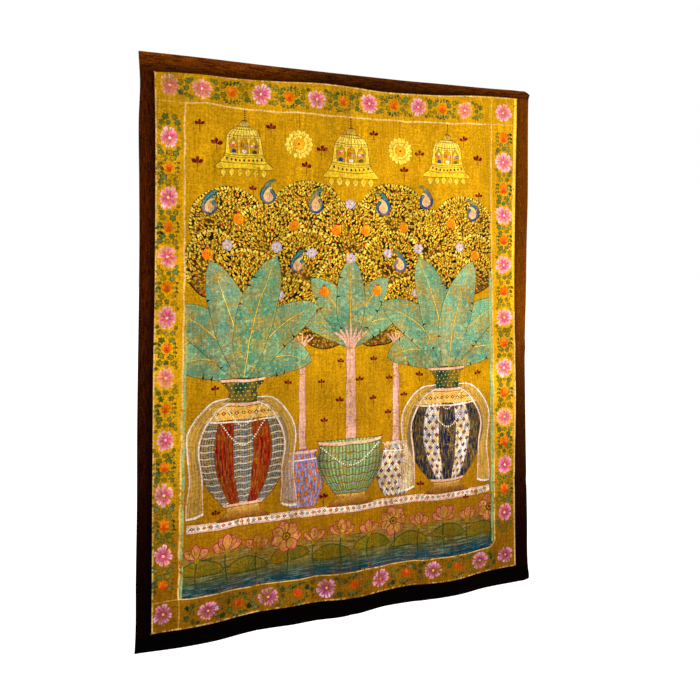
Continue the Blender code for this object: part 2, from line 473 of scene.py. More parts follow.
def paint(outline, near, far=None, start=0j, end=1j, cover=1.0, wear=0.25, kind="plain",
          spread="line", within=None, hand=True, local=None):
    """Lays on a shape. Its colour and cover run from near at start to far at end.

    A kind other than plain draws a pattern in the place that local gives: across, up and a third
    number, each in metres or a share.
    """
    outline = with_more_points(anticlockwise(outline))
    if hand:
        outline = by_hand(outline)
    cover = cover if isinstance(cover, tuple) else (cover, cover)
    far = near if far is None else far
    marks.append(Mark(outline, near, far, start, end, cover, spread, wear, kind, within, local))
    return len(marks) - 1


def outlined(outline, line, width, near, far=None, **more):
    """A shape with a drawn line round it."""
    paint(grow(outline, width), line, wear=0.2, within=more.get("within"))
    return paint(outline, near, far, **more)


def take(outline):
    """Keeps the scattered sprigs off a shape."""
    taken.append(grow(outline, SPRIG_CLEARANCE))


def is_free(place):
    return not any(
        abs(outline[0] - place) < FIGURE_REACH and covers(outline, place) for outline in taken
    )


def varied(colour, by=7):
    """A colour mixed anew, a little lighter or darker."""
    return tuple(np.clip(np.array(colour) + random.normal(0, by) + random.normal(0, by / 3, 3), 0, 255))


# The border: flowers in two sizes, ivy leaves and twigs, between cream lines


PETAL = np.array([0.10 + 0.05j, 0.45 + 0.165j, 0.78 + 0.285j, 0.93 + 0.28j, 1.01 + 0.17j, 0.99 + 0.06j])
PETAL = np.concatenate([PETAL.conj(), [0.92 + 0j], PETAL[::-1]])
IVY = [(0, 1.0), (27, 0.68), (58, 0.94), (92, 0.64), (128, 0.86), (160, 0.50)]
IVY = np.array([reach * toward(turn) for turn, reach in IVY])
IVY = np.concatenate([IVY.conj()[:0:-1], IVY])


def spread_out(shape, wide, tall, middle):
    """A shape of size 1, drawn wide and tall."""
    return middle + shape.real * wide + 1j * shape.imag * tall


def rosette(middle, wide, tall, rim, heart, eye, wear, fade=0.0):
    """A flower of eight blunt petals with gaps between them, deep pink at its heart."""
    first = random.uniform(0, 45)
    for k in range(8):
        turn = toward(first + 45 * k + random.uniform(-5, 5)) * random.uniform(0.9, 1.05)
        petal = PETAL.real + 1j * PETAL.imag * random.uniform(0.84, 0.98)
        shape = spread_out(petal * turn, wide, tall, middle)
        rubbed = min(0.8, wear * random.uniform(0.5, 1.5))
        cover = 1 - fade * random.uniform(0.6, 1.3)
        warm = 1 - random.uniform(0, 0.14)
        base = varied((rim[0], rim[1] * warm, rim[2] * warm**2), 7)
        pale = tuple(min(255, c + 36) for c in base)
        paint(shape, base, pale, middle, middle + tall, spread="round", wear=rubbed, cover=cover)
        paint(shape, heart, start=middle, end=middle + tall * random.uniform(0.60, 0.84),
              spread="round", cover=(1.0 * cover, 0.0), wear=rubbed * 0.8)
        narrow = leaf(0.08 + 0j, random.uniform(0.76, 0.98) + 0j, 0.20, random.uniform(-0.06, 0.06), 0.5, 4)
        paint(spread_out(narrow * turn, wide, tall, middle), heart, start=middle + tall * 0.30,
              end=middle + tall * 1.05, cover=0.45 * cover, wear=rubbed)
    paint(circle(middle, 0.0036, sides=9), eye, wear=0.05, cover=1 - fade * 0.5)


def marigold(middle, wide, tall, petal, wear):
    """An orange flower like a shell: petals rise from its foot, with red lines between them."""
    foot = middle - 0.50j * tall
    paint(spread_out(circle(0j, 0.80, sides=10), wide, tall, middle - 0.10j * tall), EMBER, wear=wear)
    for k in (-2, 2, -1, 1, 0):
        tip = spread_out(toward(90 - 43 * k + random.uniform(-5, 5)), wide, tall, middle)
        shape = leaf(foot, tip, wide * 0.66, 0.05 * k, 0.62, 5, 0.8)
        colour = varied(petal, 9)
        outlined(shape, RUST, 0.0008, EMBER, colour, start=foot, end=foot + (tip - foot) * 0.50, wear=wear)
    paint(ribbon([middle + 0.46j * tall, middle + 0.08j * tall, middle - 0.30j * tall], 0.0021), RUST,
          cover=0.75, wear=wear)


def ivy(middle, size, turn, wear, greens):
    """A leaf of five lobes with a dark edge and a stalk."""
    step = toward(turn) * size
    near = varied(greens[0] if random.uniform(0, 1) > 0.60 else greens[1], 10)
    paint(middle + np.array([-1.35, -0.2 - 0.13j, 0.75, -0.2 + 0.13j]) * step, DARK_GREEN, wear=wear)
    strong = random.uniform(0.62, 1.0)
    paint(middle + IVY * step * 1.12, DARK_GREEN, wear=wear, cover=strong)
    paint(middle + (IVY * 0.80 + 0.02) * step, near, wear=wear)


def twig(middle, along, length, wear, leaflet=0.0100):
    """A short stem with leaflets on both sides."""
    ends = (middle - along * length / 2, middle + along * length / 2)
    paint(ribbon(midrib(ends[0], ends[1], 0.05, 3), 0.0014), DARK_GREEN, wear=wear)
    for share in (0.10, 0.42, 0.74) if length > 0.02 else (0.16, 0.66):
        foot = ends[0] + (ends[1] - ends[0]) * share
        for side in (-1, 1):
            step = along * toward(side * random.uniform(25, 65))
            tip = foot + step * random.uniform(0.85, 1.15) * leaflet
            colour = varied(DARK_GREEN if side > 0 else GREEN, 12)
            paint(leaf(foot, tip, 0.66 * leaflet, steps=3), colour, wear=wear)
    paint(leaf(ends[1], ends[1] + along * 0.008, 0.0045, steps=3), DARK_GREEN, wear=wear)


BandLeaf = namedtuple("BandLeaf", "ahead aside size turn")
BAND_LEAVES = [
    BandLeaf(0.0375, 0.0180, 0.0098, 35),
    BandLeaf(0.0370, -0.0180, 0.0098, -35),
    BandLeaf(0.0385, 0.0005, 0.0084, 10),
    BandLeaf(0.0530, 0.0115, 0.0096, 20),
    BandLeaf(0.0535, -0.0110, 0.0096, -20),
    BandLeaf(0.0255, 0.0235, 0.0062, 80),
    BandLeaf(0.0255, -0.0235, 0.0062, -80),
]


def band_leaves(middle, along, wear, greens):
    """The leaves on one side of a border flower."""
    for row in BAND_LEAVES:
        shift = random.normal(0, 0.0013) + 1j * random.normal(0, 0.0013)
        place = middle + along * (row.ahead + 1j * row.aside + shift)
        turn = math.degrees(np.angle(along)) + row.turn + random.uniform(-30, 30)
        ivy(place, row.size * random.uniform(0.9, 1.12), turn, wear * random.uniform(0.5, 1.6), greens)


Flowers = namedtuple("Flowers", "wide tall blossoms_wide blossoms_tall")
FLOWERS = {
    "left": Flowers(0.0225, 0.0290, 0.0122, 0.0148),
    "right": Flowers(0.0308, 0.0284, 0.0176, 0.0172),
    "top": Flowers(0.0268, 0.0276, 0.0142, 0.0148),
    "bottom": Flowers(0.0272, 0.0250, 0.0140, 0.0126),
}
PLAIN = (PINK, MAGENTA, EYE)
DEEPER = (MAUVE, CERISE, EYE)
FADED = (MAUVE, WINE, YELLOW)
GREENS = (OLIVE, GREEN)
LOW_GREENS = (GREEN, DARK_GREEN)
LEFT_FLOWERS = (-0.2095, -0.3645, -0.5185, -0.6735, -0.8275, -0.9885, -1.1295, -1.2835)
RIGHT_FLOWERS = (-0.2215, -0.3835, -0.5385, -0.7015, -0.8565, -1.0105, -1.1585, -1.3055)

# The rows of flowers down the sides: where each starts across, how far it leans over the length of
# a row, and how deep its top lies
Row = namedtuple("Row", "start lean top")
LEFT_ROW = Row(-0.502, -0.019, 0.0745)
RIGHT_ROW = Row(0.487, 0.008, 0.07)
ROW_LENGTH = 1.36
END_FLOWERS = 6
TOP_FLOWERS = (-0.421, 0.155)        # the first one's place and the step to the next
BOTTOM_FLOWERS = (-0.408, 0.1626)
CORNERS = {"top": (-0.502 - 0.0755j, 0.486 - 0.0690j), "bottom": (-0.521 - 1.434j, 0.497 - 1.4375j)}
FADED_FLOWERS = {
    ("left", 2): 0.22, ("left", 4): 0.30, ("right", 5): 0.25, ("top", 0): 0.25, ("top", 5): 0.30,
}


def band(name, flowers, first, last, blossoms_at):
    """One side of the border: flowers at their places, with leaves and orange blossoms between."""
    along = (last - first) / abs(last - first)
    low = name == "bottom"
    sizes = FLOWERS[name]
    places = [first, *flowers, last]
    for k, place in enumerate(flowers):
        narrow = name == "right" and k > 5
        colours = FADED if low else DEEPER if narrow else PLAIN
        for side in (1, -1):
            band_leaves(place, side * along, 0.40 if low else 0.24, LOW_GREENS if low else GREENS)
        size = random.uniform(0.96, 1.04)
        wide = sizes.wide * size * (0.74 if narrow else 0.90 if (name, k) == ("right", 5) else 1)
        rosette(place, wide, sizes.tall * size, *colours, 0.34 if low else 0.20,
                FADED_FLOWERS.get((name, k), 0.0))
    blossom, worn = (EMBER, 0.24) if low else (ORANGE, 0.10)
    for k in blossoms_at:
        middle = (places[k] + places[k + 1]) / 2
        marigold(middle, sizes.blossoms_wide, sizes.blossoms_tall, blossom, worn)
        if name in ("left", "right"):
            outer = 1 if name == "right" else -1
            for side in (-1, 1):
                twig(middle + 0.021 * side, -1j, 0.036, 0.28, 0.0130 if side == outer else 0.0095)
        else:
            paint(ribbon([middle - 0.014j, middle - 0.034j], 0.0016), DARK_GREEN, wear=0.2)
            for side in (-1, 1):
                twig(middle + 0.0225j + side * 0.0080, side + 0j, 0.0190, 0.20)
                twig(middle - 0.0265j + side * 0.0075, side + 0.25j, 0.0170, 0.20)


def side_places(heights, row):
    """Places of the flowers down a side, in a row that leans outward toward its foot."""
    return [row.start + row.lean * (z + row.top) / -ROW_LENGTH + 1j * z for z in heights]


def border():
    top_left, top_right = CORNERS["top"]
    low_left, low_right = CORNERS["bottom"]
    top = [TOP_FLOWERS[0] + TOP_FLOWERS[1] * k + 1j * (-0.0775 + 0.006 * bump(k - 5, 3))
           for k in range(END_FLOWERS)]
    low = [BOTTOM_FLOWERS[0] + BOTTOM_FLOWERS[1] * k - 1.4415j for k in range(END_FLOWERS)]
    band("left", side_places(LEFT_FLOWERS, LEFT_ROW), top_left, low_left, range(1, 9))
    band("right", side_places(RIGHT_FLOWERS, RIGHT_ROW), top_right, low_right, range(0, 8))
    band("top", top, top_left, top_right, range(1, 6))
    band("bottom", low, low_left, low_right, range(1, 6))
    rosette(top_left, 0.0255, 0.0290, *PLAIN, 0.25, 0.42)
    rosette(top_right, 0.0295, 0.0295, *PLAIN, 0.15)
    rosette(low_left, 0.0245, 0.0265, *FADED, 0.30)
    rosette(low_right, 0.0275, 0.0255, *FADED, 0.35)


TOP_LINE = [-0.4650 - 0.1165j, -0.4143 - 0.1142j, -0.3495 - 0.1183j, -0.2776 - 0.1218j,
            -0.1587 - 0.1190j, -0.0133 - 0.1202j, 0.1404 - 0.1185j, 0.3031 - 0.1138j, 0.4450 - 0.1055j]
LOW_LINE = [-0.4812 - 1.4015j, -0.4200 - 1.4025j, -0.3547 - 1.4033j, -0.1800 - 1.4050j,
            0.1000 - 1.4075j, 0.3368 - 1.4093j, 0.4054 - 1.4109j, 0.4440 - 1.4060j, 0.4585 - 1.3900j]
LEFT_LINE = [-0.4650 - 0.1165j, -0.4662 - 0.3694j, -0.4675 - 0.6289j, -0.4725 - 0.8881j,
             -0.4775 - 1.1467j, -0.4812 - 1.4015j]
RIGHT_LINE = [0.4450 - 0.1055j, 0.4439 - 0.3386j, 0.4491 - 0.6463j, 0.4544 - 0.9546j,
              0.4580 - 1.2632j, 0.4585 - 1.3900j]


def seam_line(across_share, down_share):
    """A place near the panel's own edges, at shares of its width and height."""
    return on_sheet(across_share, down_share, ("left_seam", "right_seam"), ("top_seam", "bottom_seam"))


def two_tone(line, width, wear, **more):
    """A line in warm cream with a paler middle."""
    paint(ribbon(line, width, 0.9), WARM_CREAM, wear=wear, **more)
    paint(ribbon(line, width * 0.48, 0.9), CREAM, wear=wear + 0.05, **more)


def frame_lines():
    """The cream lines at the seams and round the field, and their faint ends in the corners."""
    count = np.linspace(0.0035, 0.9965, 34)
    inset = 0.0042
    edges = [
        (seam_line(inset, count), 0.0046, 0.28),
        (seam_line(1 - inset, count[15:]), 0.0064, 0.20),
        (seam_line(count[4:], inset * 0.75), 0.0042, 0.34),
        (seam_line(count, 1 - inset * 0.75), 0.0040, 0.50),
    ]
    for line, width, wear in edges:
        two_tone(line, width, wear, hand=False)
    upper = {"start": -0.30j, "end": -0.78j, "hand": False}
    paint(ribbon(seam_line(0.9915, count[:17]), 0.0095, 0.9), STRAW, cover=(0.95, 0.0), wear=0.16, **upper)
    paint(ribbon(seam_line(0.9862, count[:17]), 0.0014, 0.9), EMBER, cover=(0.55, 0.0), wear=0.30, **upper)
    left, right = smooth(LEFT_LINE, 7), smooth(RIGHT_LINE, 7)
    paint(ribbon(left[15:] + 0.0064, 0.0066, 0.6), MINT, wear=0.36)
    paint(ribbon(right[12:] - 0.0078, 0.0090, 0.6), MINT, wear=0.24)
    paint(ribbon(right[12:] - 0.0124, 0.0010, 0.9), DARK_GREEN, wear=0.40)
    top, low = smooth(TOP_LINE, 4), smooth(LOW_LINE, 4)
    for line, width in ((top, 0.0056), (low, 0.0032), (left, 0.0062), (right, 0.0050)):
        two_tone(line, width, 0.26)
    boxes = [(TOP_LINE[0], -0.0750), (TOP_LINE[0], 0.0750j), (TOP_LINE[-1], 0.0900),
             (TOP_LINE[-1], 0.0840j), (LEFT_LINE[-1], -0.0650), (LEFT_LINE[-1], -0.0760j)]
    for corner, step in boxes:
        paint(ribbon(corner + step * np.linspace(0, 1, 5), 0.0034, 0.8), CREAM, wear=0.34, cover=0.46)


# The field: shapes that its figures share


def side_of(profile, steps=3):
    """The smooth right side of a turned shape, from its list of heights and half widths."""
    return smooth([x + 1j * z for z, x in profile], steps)


def gore(profile, middle, low, high):
    """The part of a turned shape between two shares of its half width, -1 to 1."""
    shape = side_of(profile)
    left = middle + low * shape.real + 1j * shape.imag
    right = middle + high * shape.real + 1j * shape.imag
    return np.concatenate([left, right[::-1]])


def turned(profile, middle):
    return gore(profile, middle, -1, 1)


def half_at(profile, z):
    """Half width of a turned shape at a height."""
    shape = side_of(profile)
    order = np.argsort(shape.imag)
    return np.interp(z, shape.imag[order], shape.real[order])


def on_body(profile, middle, gilt=0.0):
    """Places on a turned shape, as across and up on its skin laid flat, and how much gold is on it."""
    widest = max(x for _, x in profile)

    def local(places):
        half = half_at(profile, places.imag)
        share = np.clip((places.real - middle) / half, -1.05, 1.05)
        sag = -SAG * half * (1 - share**2)
        return np.stack([share * widest, places.imag - sag, gilt + 0 * share], axis=-1)

    return local


def sagging(middle, across, half, z):
    """Places on a line round a turned shape, which hangs a little in its middle."""
    return middle + across + 1j * (z - SAG * half * (1 - (across / half) ** 2))


def band_across(profile, middle, z, width, colour, within, wear=0.2):
    """A line round a turned shape."""
    half = half_at(profile, z)
    line = sagging(middle, np.linspace(-1.02, 1.02, 9) * half, half, z)
    paint(ribbon(line, width, 0.9), colour, wear=wear, within=within)


def stripes_down(profile, middle, shares, width, within, wear=0.15):
    """Brown lines that follow a turned shape from its top to its foot."""
    shape = side_of(profile, 2)
    for share in shares:
        line = middle + share * shape.real + 1j * shape.imag
        paint(ribbon(line, width, 0.6), BROWN, cover=0.9, wear=wear, within=within)


def scattered(low, high, step, row):
    """Places in staggered rows between two corners."""
    for number, z in enumerate(np.arange(high.imag, low.imag, -row)):
        for x in np.arange(low.real + (number % 2) * step / 2, high.real, step):
            yield x + 1j * z


def lozenge(place, size, colour, heart, within):
    """A small diamond with a dot in it, for a row."""
    paint(circle(place, size, sides=4, tall=0.85), varied(colour, 8), within=within, wear=0.15)
    paint(circle(place, size * 0.36, sides=4), heart, within=within, wear=0.1)


def open_flower(place, size, petal, tip, heart, petals=6, within=None):
    first = random.uniform(0, 60)
    for k in range(petals):
        step = toward(first + 360 / petals * k)
        shape = leaf(place + step * size * 0.12, place + step * size, size * 0.72, belly=0.6, steps=4)
        outlined(shape, tip, 0.0007, petal, tip, start=place, end=place + size * 1.5, spread="round",
                 within=within)
    paint(circle(place, size * 0.2, sides=6), heart, wear=0.1, within=within)


def pearls(line, radius, gap, colour):
    """Small round dots along a line."""
    line = np.asarray(line, complex)
    run = np.concatenate([[0], np.cumsum(np.abs(np.diff(line)))])
    for place in np.arange(0, run[-1], gap):
        spot = np.interp(place, run, line.real) + 1j * np.interp(place, run, line.imag)
        paint(circle(spot, radius, sides=6), colour, wear=0.12)


# The field: bells and round flowers on cords


BELL = [(0.000, 0.004), (-0.006, 0.010), (-0.014, 0.012), (-0.020, 0.026), (-0.036, 0.040),
        (-0.060, 0.044), (-0.088, 0.049), (-0.106, 0.061), (-0.114, 0.070), (-0.119, 0.070)]


def niche(foot, wide, tall, colours, within):
    """A pointed arch with a vase of flowers in it."""
    arch = [-wide / 2 + 0j, -wide / 2 + 0.6j * tall, -wide * 0.3 + 0.85j * tall, 1j * tall,
            wide * 0.3 + 0.85j * tall, wide / 2 + 0.6j * tall, wide / 2 + 0j]
    outlined(foot + np.array(arch), BROWN, 0.0013, GOLD, within=within)
    vase = np.array([-0.20 + 0j, 0.20, 0.30 + 0.25j, 0.14 + 0.40j, -0.14 + 0.40j, -0.30 + 0.25j])
    outlined(foot + vase * wide, BROWN, 0.0007, colours[0], within=within)
    for k, colour in zip((-1, 1, 0), colours[1:]):
        place = foot + wide * 0.23 * k + 1j * tall * (0.50 if k else 0.68)
        outlined(circle(place, wide * 0.19, sides=7), BROWN, 0.0005, colour, within=within)
        paint(circle(place, wide * 0.06, sides=4), CREAM, within=within)


NICHES = [(BLUE, MAGENTA, ORANGE, WHITE), (WHITE, RED, LILAC, ORANGE), (BOTTLE, PINK, BLUE, YELLOW)]


def bell(top, size):
    """A hanging temple bell in light yellow with brown line work, tassels below it."""
    profile = [(top.imag + z * size, x * size) for z, x in BELL]
    pearls([top + 0.033j, top], 0.0026, 0.0062, BROWN)
    shape = turned(profile, top.real)
    take(shape)
    body = outlined(shape, BROWN, 0.0016, PALE_YELLOW, YELLOW, start=top - 0.03j, end=top - 0.12j * size,
                    wear=0.20)
    stripes_down(profile[:6], top.real, (-0.85, -0.62, -0.40, -0.20, 0, 0.20, 0.40, 0.62, 0.85), 0.0015,
                 body, wear=0.25)
    for depth, width in ((0.015, 0.0016), (0.021, 0.0016), (0.036, 0.0018), (0.041, 0.0013),
                         (0.084, 0.0018), (0.089, 0.0014), (0.103, 0.0018)):
        band_across(profile, top.real, top.imag - depth * size, width, BROWN, body)
    for k in range(-5, 6):
        place = top + 0.0108 * size * k - 1j * size * (0.0995 - 0.0003 * k * k)
        colour = RED if k % 2 else BOTTLE
        paint(leaf(place + 0.0045j, place - 0.0045j, 0.0064, steps=3), colour, within=body, wear=0.1)
    for k, colours in zip((-1, 0, 1), NICHES):
        niche(top + size * (0.0255 * k - 0.0805j), 0.0205 * size, 0.037 * size, colours, body)
    for x in (-0.050, -0.030, -0.010, 0.010, 0.030, 0.050):
        foot = top + (x - 0.1205j) * size
        bud = leaf(foot + 0.002j, foot - 0.019j * size, 0.014 * size, belly=0.45, steps=5)
        outlined(bud, BROWN, 0.0011, YELLOW, PALE_YELLOW, start=foot, end=foot - 0.02j)
        paint(ribbon([foot, foot - 0.012j * size], 0.0014), BROWN, cover=0.7)
        take(bud)


def sun_flower(middle, radius):
    """A round flower of many petals that hangs on a cord."""
    pearls([middle + 1j * radius, middle + 1j * (radius + 0.046)], 0.0022, 0.0062, BROWN)
    take(circle(middle, radius * 1.1))
    for k in range(16):
        step = toward(22.5 * k + 4)
        shape = leaf(middle + step * radius * 0.4, middle + step * radius, radius * 0.38, belly=0.62, steps=4)
        outlined(shape, BROWN, 0.0009, YELLOW, PALE_YELLOW, start=middle, end=middle + radius, spread="round")
    outlined(circle(middle, radius * 0.60, sides=20), BROWN, 0.0012, PALE_YELLOW)
    open_flower(middle, radius * 0.46, YELLOW, ORANGE, RED, 8)


def bells():
    """Three bells, and a round flower in each space between them."""
    bell(-0.312 - 0.152j, 1.08)
    bell(-0.010 - 0.152j, 1.18)
    bell(0.292 - 0.148j, 1.08)
    for x in (-0.161, 0.141):
        sun_flower(x - 0.206j, 0.040)


# The field: the crown of small leaves


Lobe = namedtuple("Lobe", "across height wide tall")
LOBES = [
    Lobe(-0.355, -0.425, 0.098, 0.092), Lobe(0.345, -0.425, 0.100, 0.090), Lobe(-0.135, -0.400, 0.104, 0.092),
    Lobe(0.120, -0.400, 0.106, 0.094), Lobe(-0.245, -0.470, 0.100, 0.098), Lobe(0.235, -0.475, 0.102, 0.098),
    Lobe(-0.012, -0.465, 0.112, 0.104), Lobe(-0.395, -0.535, 0.070, 0.088), Lobe(0.385, -0.535, 0.070, 0.088),
    Lobe(-0.140, -0.535, 0.094, 0.094), Lobe(0.118, -0.535, 0.096, 0.092), Lobe(-0.310, -0.585, 0.096, 0.088),
    Lobe(0.290, -0.590, 0.098, 0.086), Lobe(-0.012, -0.600, 0.100, 0.092), Lobe(-0.195, -0.655, 0.092, 0.080),
    Lobe(0.175, -0.655, 0.092, 0.080), Lobe(-0.085, -0.700, 0.080, 0.070), Lobe(0.065, -0.700, 0.080, 0.070),
]
RIM_LEAF_GAP = 0.0086


def rounds(lobe):
    """How the leaves in a lobe are held: its foot, and how far down in it a place lies."""
    foot = lobe.across + 1j * (lobe.height - 0.35 * lobe.tall)

    def local(places):
        depth = 0.5 - (places.imag - lobe.height) / (2 * lobe.tall)
        return np.stack([foot.real + 0 * depth, foot.imag + 0 * depth, depth], axis=-1)

    return foot, local


def crown_of_leaves(field):
    """Round lobes that lap over each other, each with leaflets round its rim."""
    shapes = []
    for lobe in LOBES:
        unit = circle(0j, 1.0, 7, 0.022, 36, random.uniform(0, 50))
        shapes.append(spread_out(unit, lobe.wide, lobe.tall, lobe.across + 1j * lobe.height))
    for number, (lobe, shape) in enumerate(zip(LOBES, shapes)):
        take(shape)
        foot, local = rounds(lobe)
        paint(grow(shape, 0.0036), BLACK, within=field, wear=0.1)
        paint(shape, BLACK, UMBER, foot + 0.4j * lobe.tall, foot - 0.65j * lobe.tall, kind="leaflets",
              within=field, wear=0.12, local=local)
        middle = lobe.across + 1j * lobe.height
        count = round(math.pi * (lobe.wide + lobe.tall) / RIM_LEAF_GAP)
        for angle in 360 / count * np.arange(count) + random.uniform(-2, 2, count):
            place = middle + spread_out(toward(angle), lobe.wide, lobe.tall, 0)
            hidden = any(covers(other, place) for other in shapes[number + 1 :])
            if hidden or toward(angle).imag < -0.55:
                continue
            step = (place - foot) / abs(place - foot) * toward(random.uniform(-35, 35))
            outer = leaf(place - step * 0.0060, place + step * 0.0052, 0.0062, steps=3)
            behind = any(covers(other, place) for other in shapes[:number])
            if not behind:
                paint(grow(outer, 0.0010), BLACK, within=field, wear=0.1)
            paint(outer, varied(LEAF_YELLOW, 14), within=field, wear=0.12)


def boteh(base, size, side):
    """A curled drop, deep blue with a warm heart."""
    path = [0, 0.26 + 0.10j, 0.34 + 0.38j, 0.20 + 0.68j, 0.02 + 0.86j, -0.17 + 0.94j, -0.27 + 0.86j,
            -0.13 + 0.84j, -0.05 + 0.66j, -0.20 + 0.46j, -0.24 + 0.20j]
    shape = smooth([p.real * side + 1j * p.imag for p in path], 2, True)
    place = base + shape * size
    outlined(place, BLACK, 0.0014, BLUE, DEEP_TEAL, start=base, end=base + 1j * size)
    ring = base + (shape * 0.78 + 0.02 * side + 0.073j) * size
    paint(ribbon(np.append(ring, ring[:1]), 0.0014, 0.9), TEAL, cover=0.8)
    heart = base + (shape * 0.55 + 0.02 * side + 0.10j) * size
    outlined(heart, CREAM, 0.0010, BLUSH, PEACH, start=base, end=base + 0.7j * size)
    for k in range(3):
        line = base + (np.array([0.12j, 0.3j, 0.42j]) + 0.07 * (k - 1) * side) * size
        paint(ribbon(line, 0.0012), BROWN, cover=0.6)


def pomegranate(place, size):
    for k in (-1, 0, 1):
        tip = place + size * (0.30 * k + 1.5j)
        paint(leaf(place + size * 0.7j, tip, size * 0.35, steps=3), RUST)
    outlined(circle(place, size, tall=1.04, sides=14), RUST, 0.0009, ORANGE, YELLOW,
             start=place, end=place + size * (1 + 0.8j))
    for k in (-1, 0, 1):
        line = [place + size * (0.38 * k + 0.75j), place + size * (0.5 * k), place + size * (0.34 * k - 0.7j)]
        paint(ribbon(line, size * 0.10), RUST, cover=0.7)


def crown_fruits():
    """Curled drops, fruits and blossoms, set in mirrored pairs about the middle of the crown."""
    for x, z, size in ((0.098, -0.395, 0.074), (0.232, -0.372, 0.072), (0.388, -0.405, 0.070),
                       (0.150, -0.560, 0.068)):
        for side in (1, -1):
            boteh(DESIGN_MIDDLE + side * x + 1j * z, size, side)
    for x, z in ((0.165, -0.430), (0.045, -0.440), (0.318, -0.415), (0.082, -0.612), (0.400, -0.510)):
        for place in (DESIGN_MIDDLE + x, DESIGN_MIDDLE - x + 0.004):
            pomegranate(place + 1j * z, 0.0135)
    for x, z in ((0.0, -0.365), (0.115, -0.505), (0.212, -0.490), (0.345, -0.485), (0.0, -0.520),
                 (0.205, -0.620)):
        for side in (1, -1) if x else (1,):
            open_flower(DESIGN_MIDDLE + side * x + 1j * z, 0.0150, WHITE, LILAC, ORANGE, 6)


# The field: vessels, and fans of broad leaves


def broad_leaf(base, tip, width, bend, field):
    """A long leaf with a yellow midrib, veins, and small dark splits at its edge."""
    middle = midrib(base, tip, bend, 14)
    shape = leaf(base, tip, width, bend, 0.52, 14, 0.60)
    take(shape)
    length = abs(tip - base)

    def local(places):
        turned_back = (places - base) / (tip - base)
        along = np.clip(turned_back.real, 0, 1)
        aside = (turned_back.imag - bend * np.sin(np.pi * along)) * length
        return np.stack([along * length, aside, 0 * along], axis=-1)

    body = outlined(shape, BOTTLE, 0.0016, varied(TEAL, 8), varied(DEEP_TEAL, 10), start=tip,
                    end=base + 0.4 * (base - tip), wear=0.16, within=field, kind="frond", local=local)
    ahead = direction(middle)
    side = random.choice([-1j, 1j])
    half = width / 2 * np.sin(np.pi * np.linspace(0, 1, 15)) ** 0.60
    shade = np.concatenate([middle, (middle + side * ahead * half)[::-1]])
    paint(shade[1:-1], DEEP_TEAL, cover=(0.10, 0.42), start=middle[7],
          end=middle[7] + side * ahead[7] * width / 2, wear=0.2, within=body)
    edge = (middle - side * ahead * half * 0.95)[2:-1]
    paint(ribbon(edge, 0.0024, 0.5), MINT, wear=0.3, within=body, cover=0.8)
    paint(ribbon(middle[:-1], 0.0044, 0.3), BROWN, wear=0.2, cover=0.7, within=field)
    paint(ribbon(middle[:-1], 0.0024, 0.3), varied(LEAF_YELLOW, 8), wear=0.2, within=field)
    for k in random.choice(np.arange(3, 12), 3, replace=False):
        side = random.choice([-1, 1]) * 1j
        rim = middle[k] + side * ahead[k] * half[k]
        inward = -side * ahead[k]
        split = [rim + ahead[k] * 0.0030, rim + inward * 0.0115, rim - ahead[k] * 0.0030,
                 rim - inward * 0.0050 - ahead[k] * 0.003, rim - inward * 0.001]
        paint(np.array(split), BLACK, wear=0.1, within=field)


def fan(base, reaches, spread, width, field):
    """Leaves that spread from one foot, the middle ones last."""
    count = len(reaches)
    order = sorted(range(count), key=lambda k: -abs(k - (count - 1) / 2))
    for k in order:
        angle = 90 + spread * (0.5 - k / (count - 1))
        tip = base + reaches[k] * toward(angle)
        away = (k - (count - 1) / 2) / count
        broad_leaf(base, tip, width, 0.50 * away, field)


URN = [(-0.842, 0.062), (-0.852, 0.054), (-0.874, 0.038), (-0.896, 0.044), (-0.930, 0.086),
       (-0.985, 0.117), (-1.045, 0.124), (-1.110, 0.104), (-1.158, 0.070), (-1.182, 0.048)]
FOOT = [(-1.182, 0.048), (-1.192, 0.042), (-1.204, 0.055), (-1.216, 0.074)]
BOWL = [(-1.030, 0.100), (-1.042, 0.092), (-1.080, 0.096), (-1.125, 0.087), (-1.160, 0.062), (-1.182, 0.046)]
POT = [(-1.050, 0.044), (-1.062, 0.036), (-1.080, 0.042), (-1.130, 0.060), (-1.178, 0.052), (-1.208, 0.034)]
GORES = (-1.0, -0.62, -0.22, 0.22, 0.62, 1.0)
GILT = {NAVY: 1.0, RED: 0.55}


def box(middle, half, top, low):
    """A box between two depths."""
    return middle + np.array([-half - 1j * top, half - 1j * top, half - 1j * low, -half - 1j * low])


def shaded(profile, middle, body):
    """Darker sides, which make a turned shape look round."""
    half = max(x for _, x in profile)
    for side in (-1, 1):
        paint(gore(profile, middle, side * 0.45, side * 1.0), BLACK, cover=(0.0, 0.45), within=body,
              start=middle + side * half * 0.55 + 0j, end=middle + side * half + 0j)


def vessel_foot(middle, share=1.0):
    """The foot under a vessel, at a share of its full width."""
    shape = turned([(z, x * share) for z, x in FOOT], middle)
    outlined(shape, BROWN, 0.0014, PEACH, BROWN, start=middle - 1.18j, end=middle - 1.22j)


def garland(middle, reach, top, low):
    """White pearls that hang in a curve over a vessel."""
    line = smooth([middle - reach - 1j * top, middle - 1j * low, middle + reach - 1j * top], 8)
    pearls(line, 0.0022, 0.0068, WHITE)


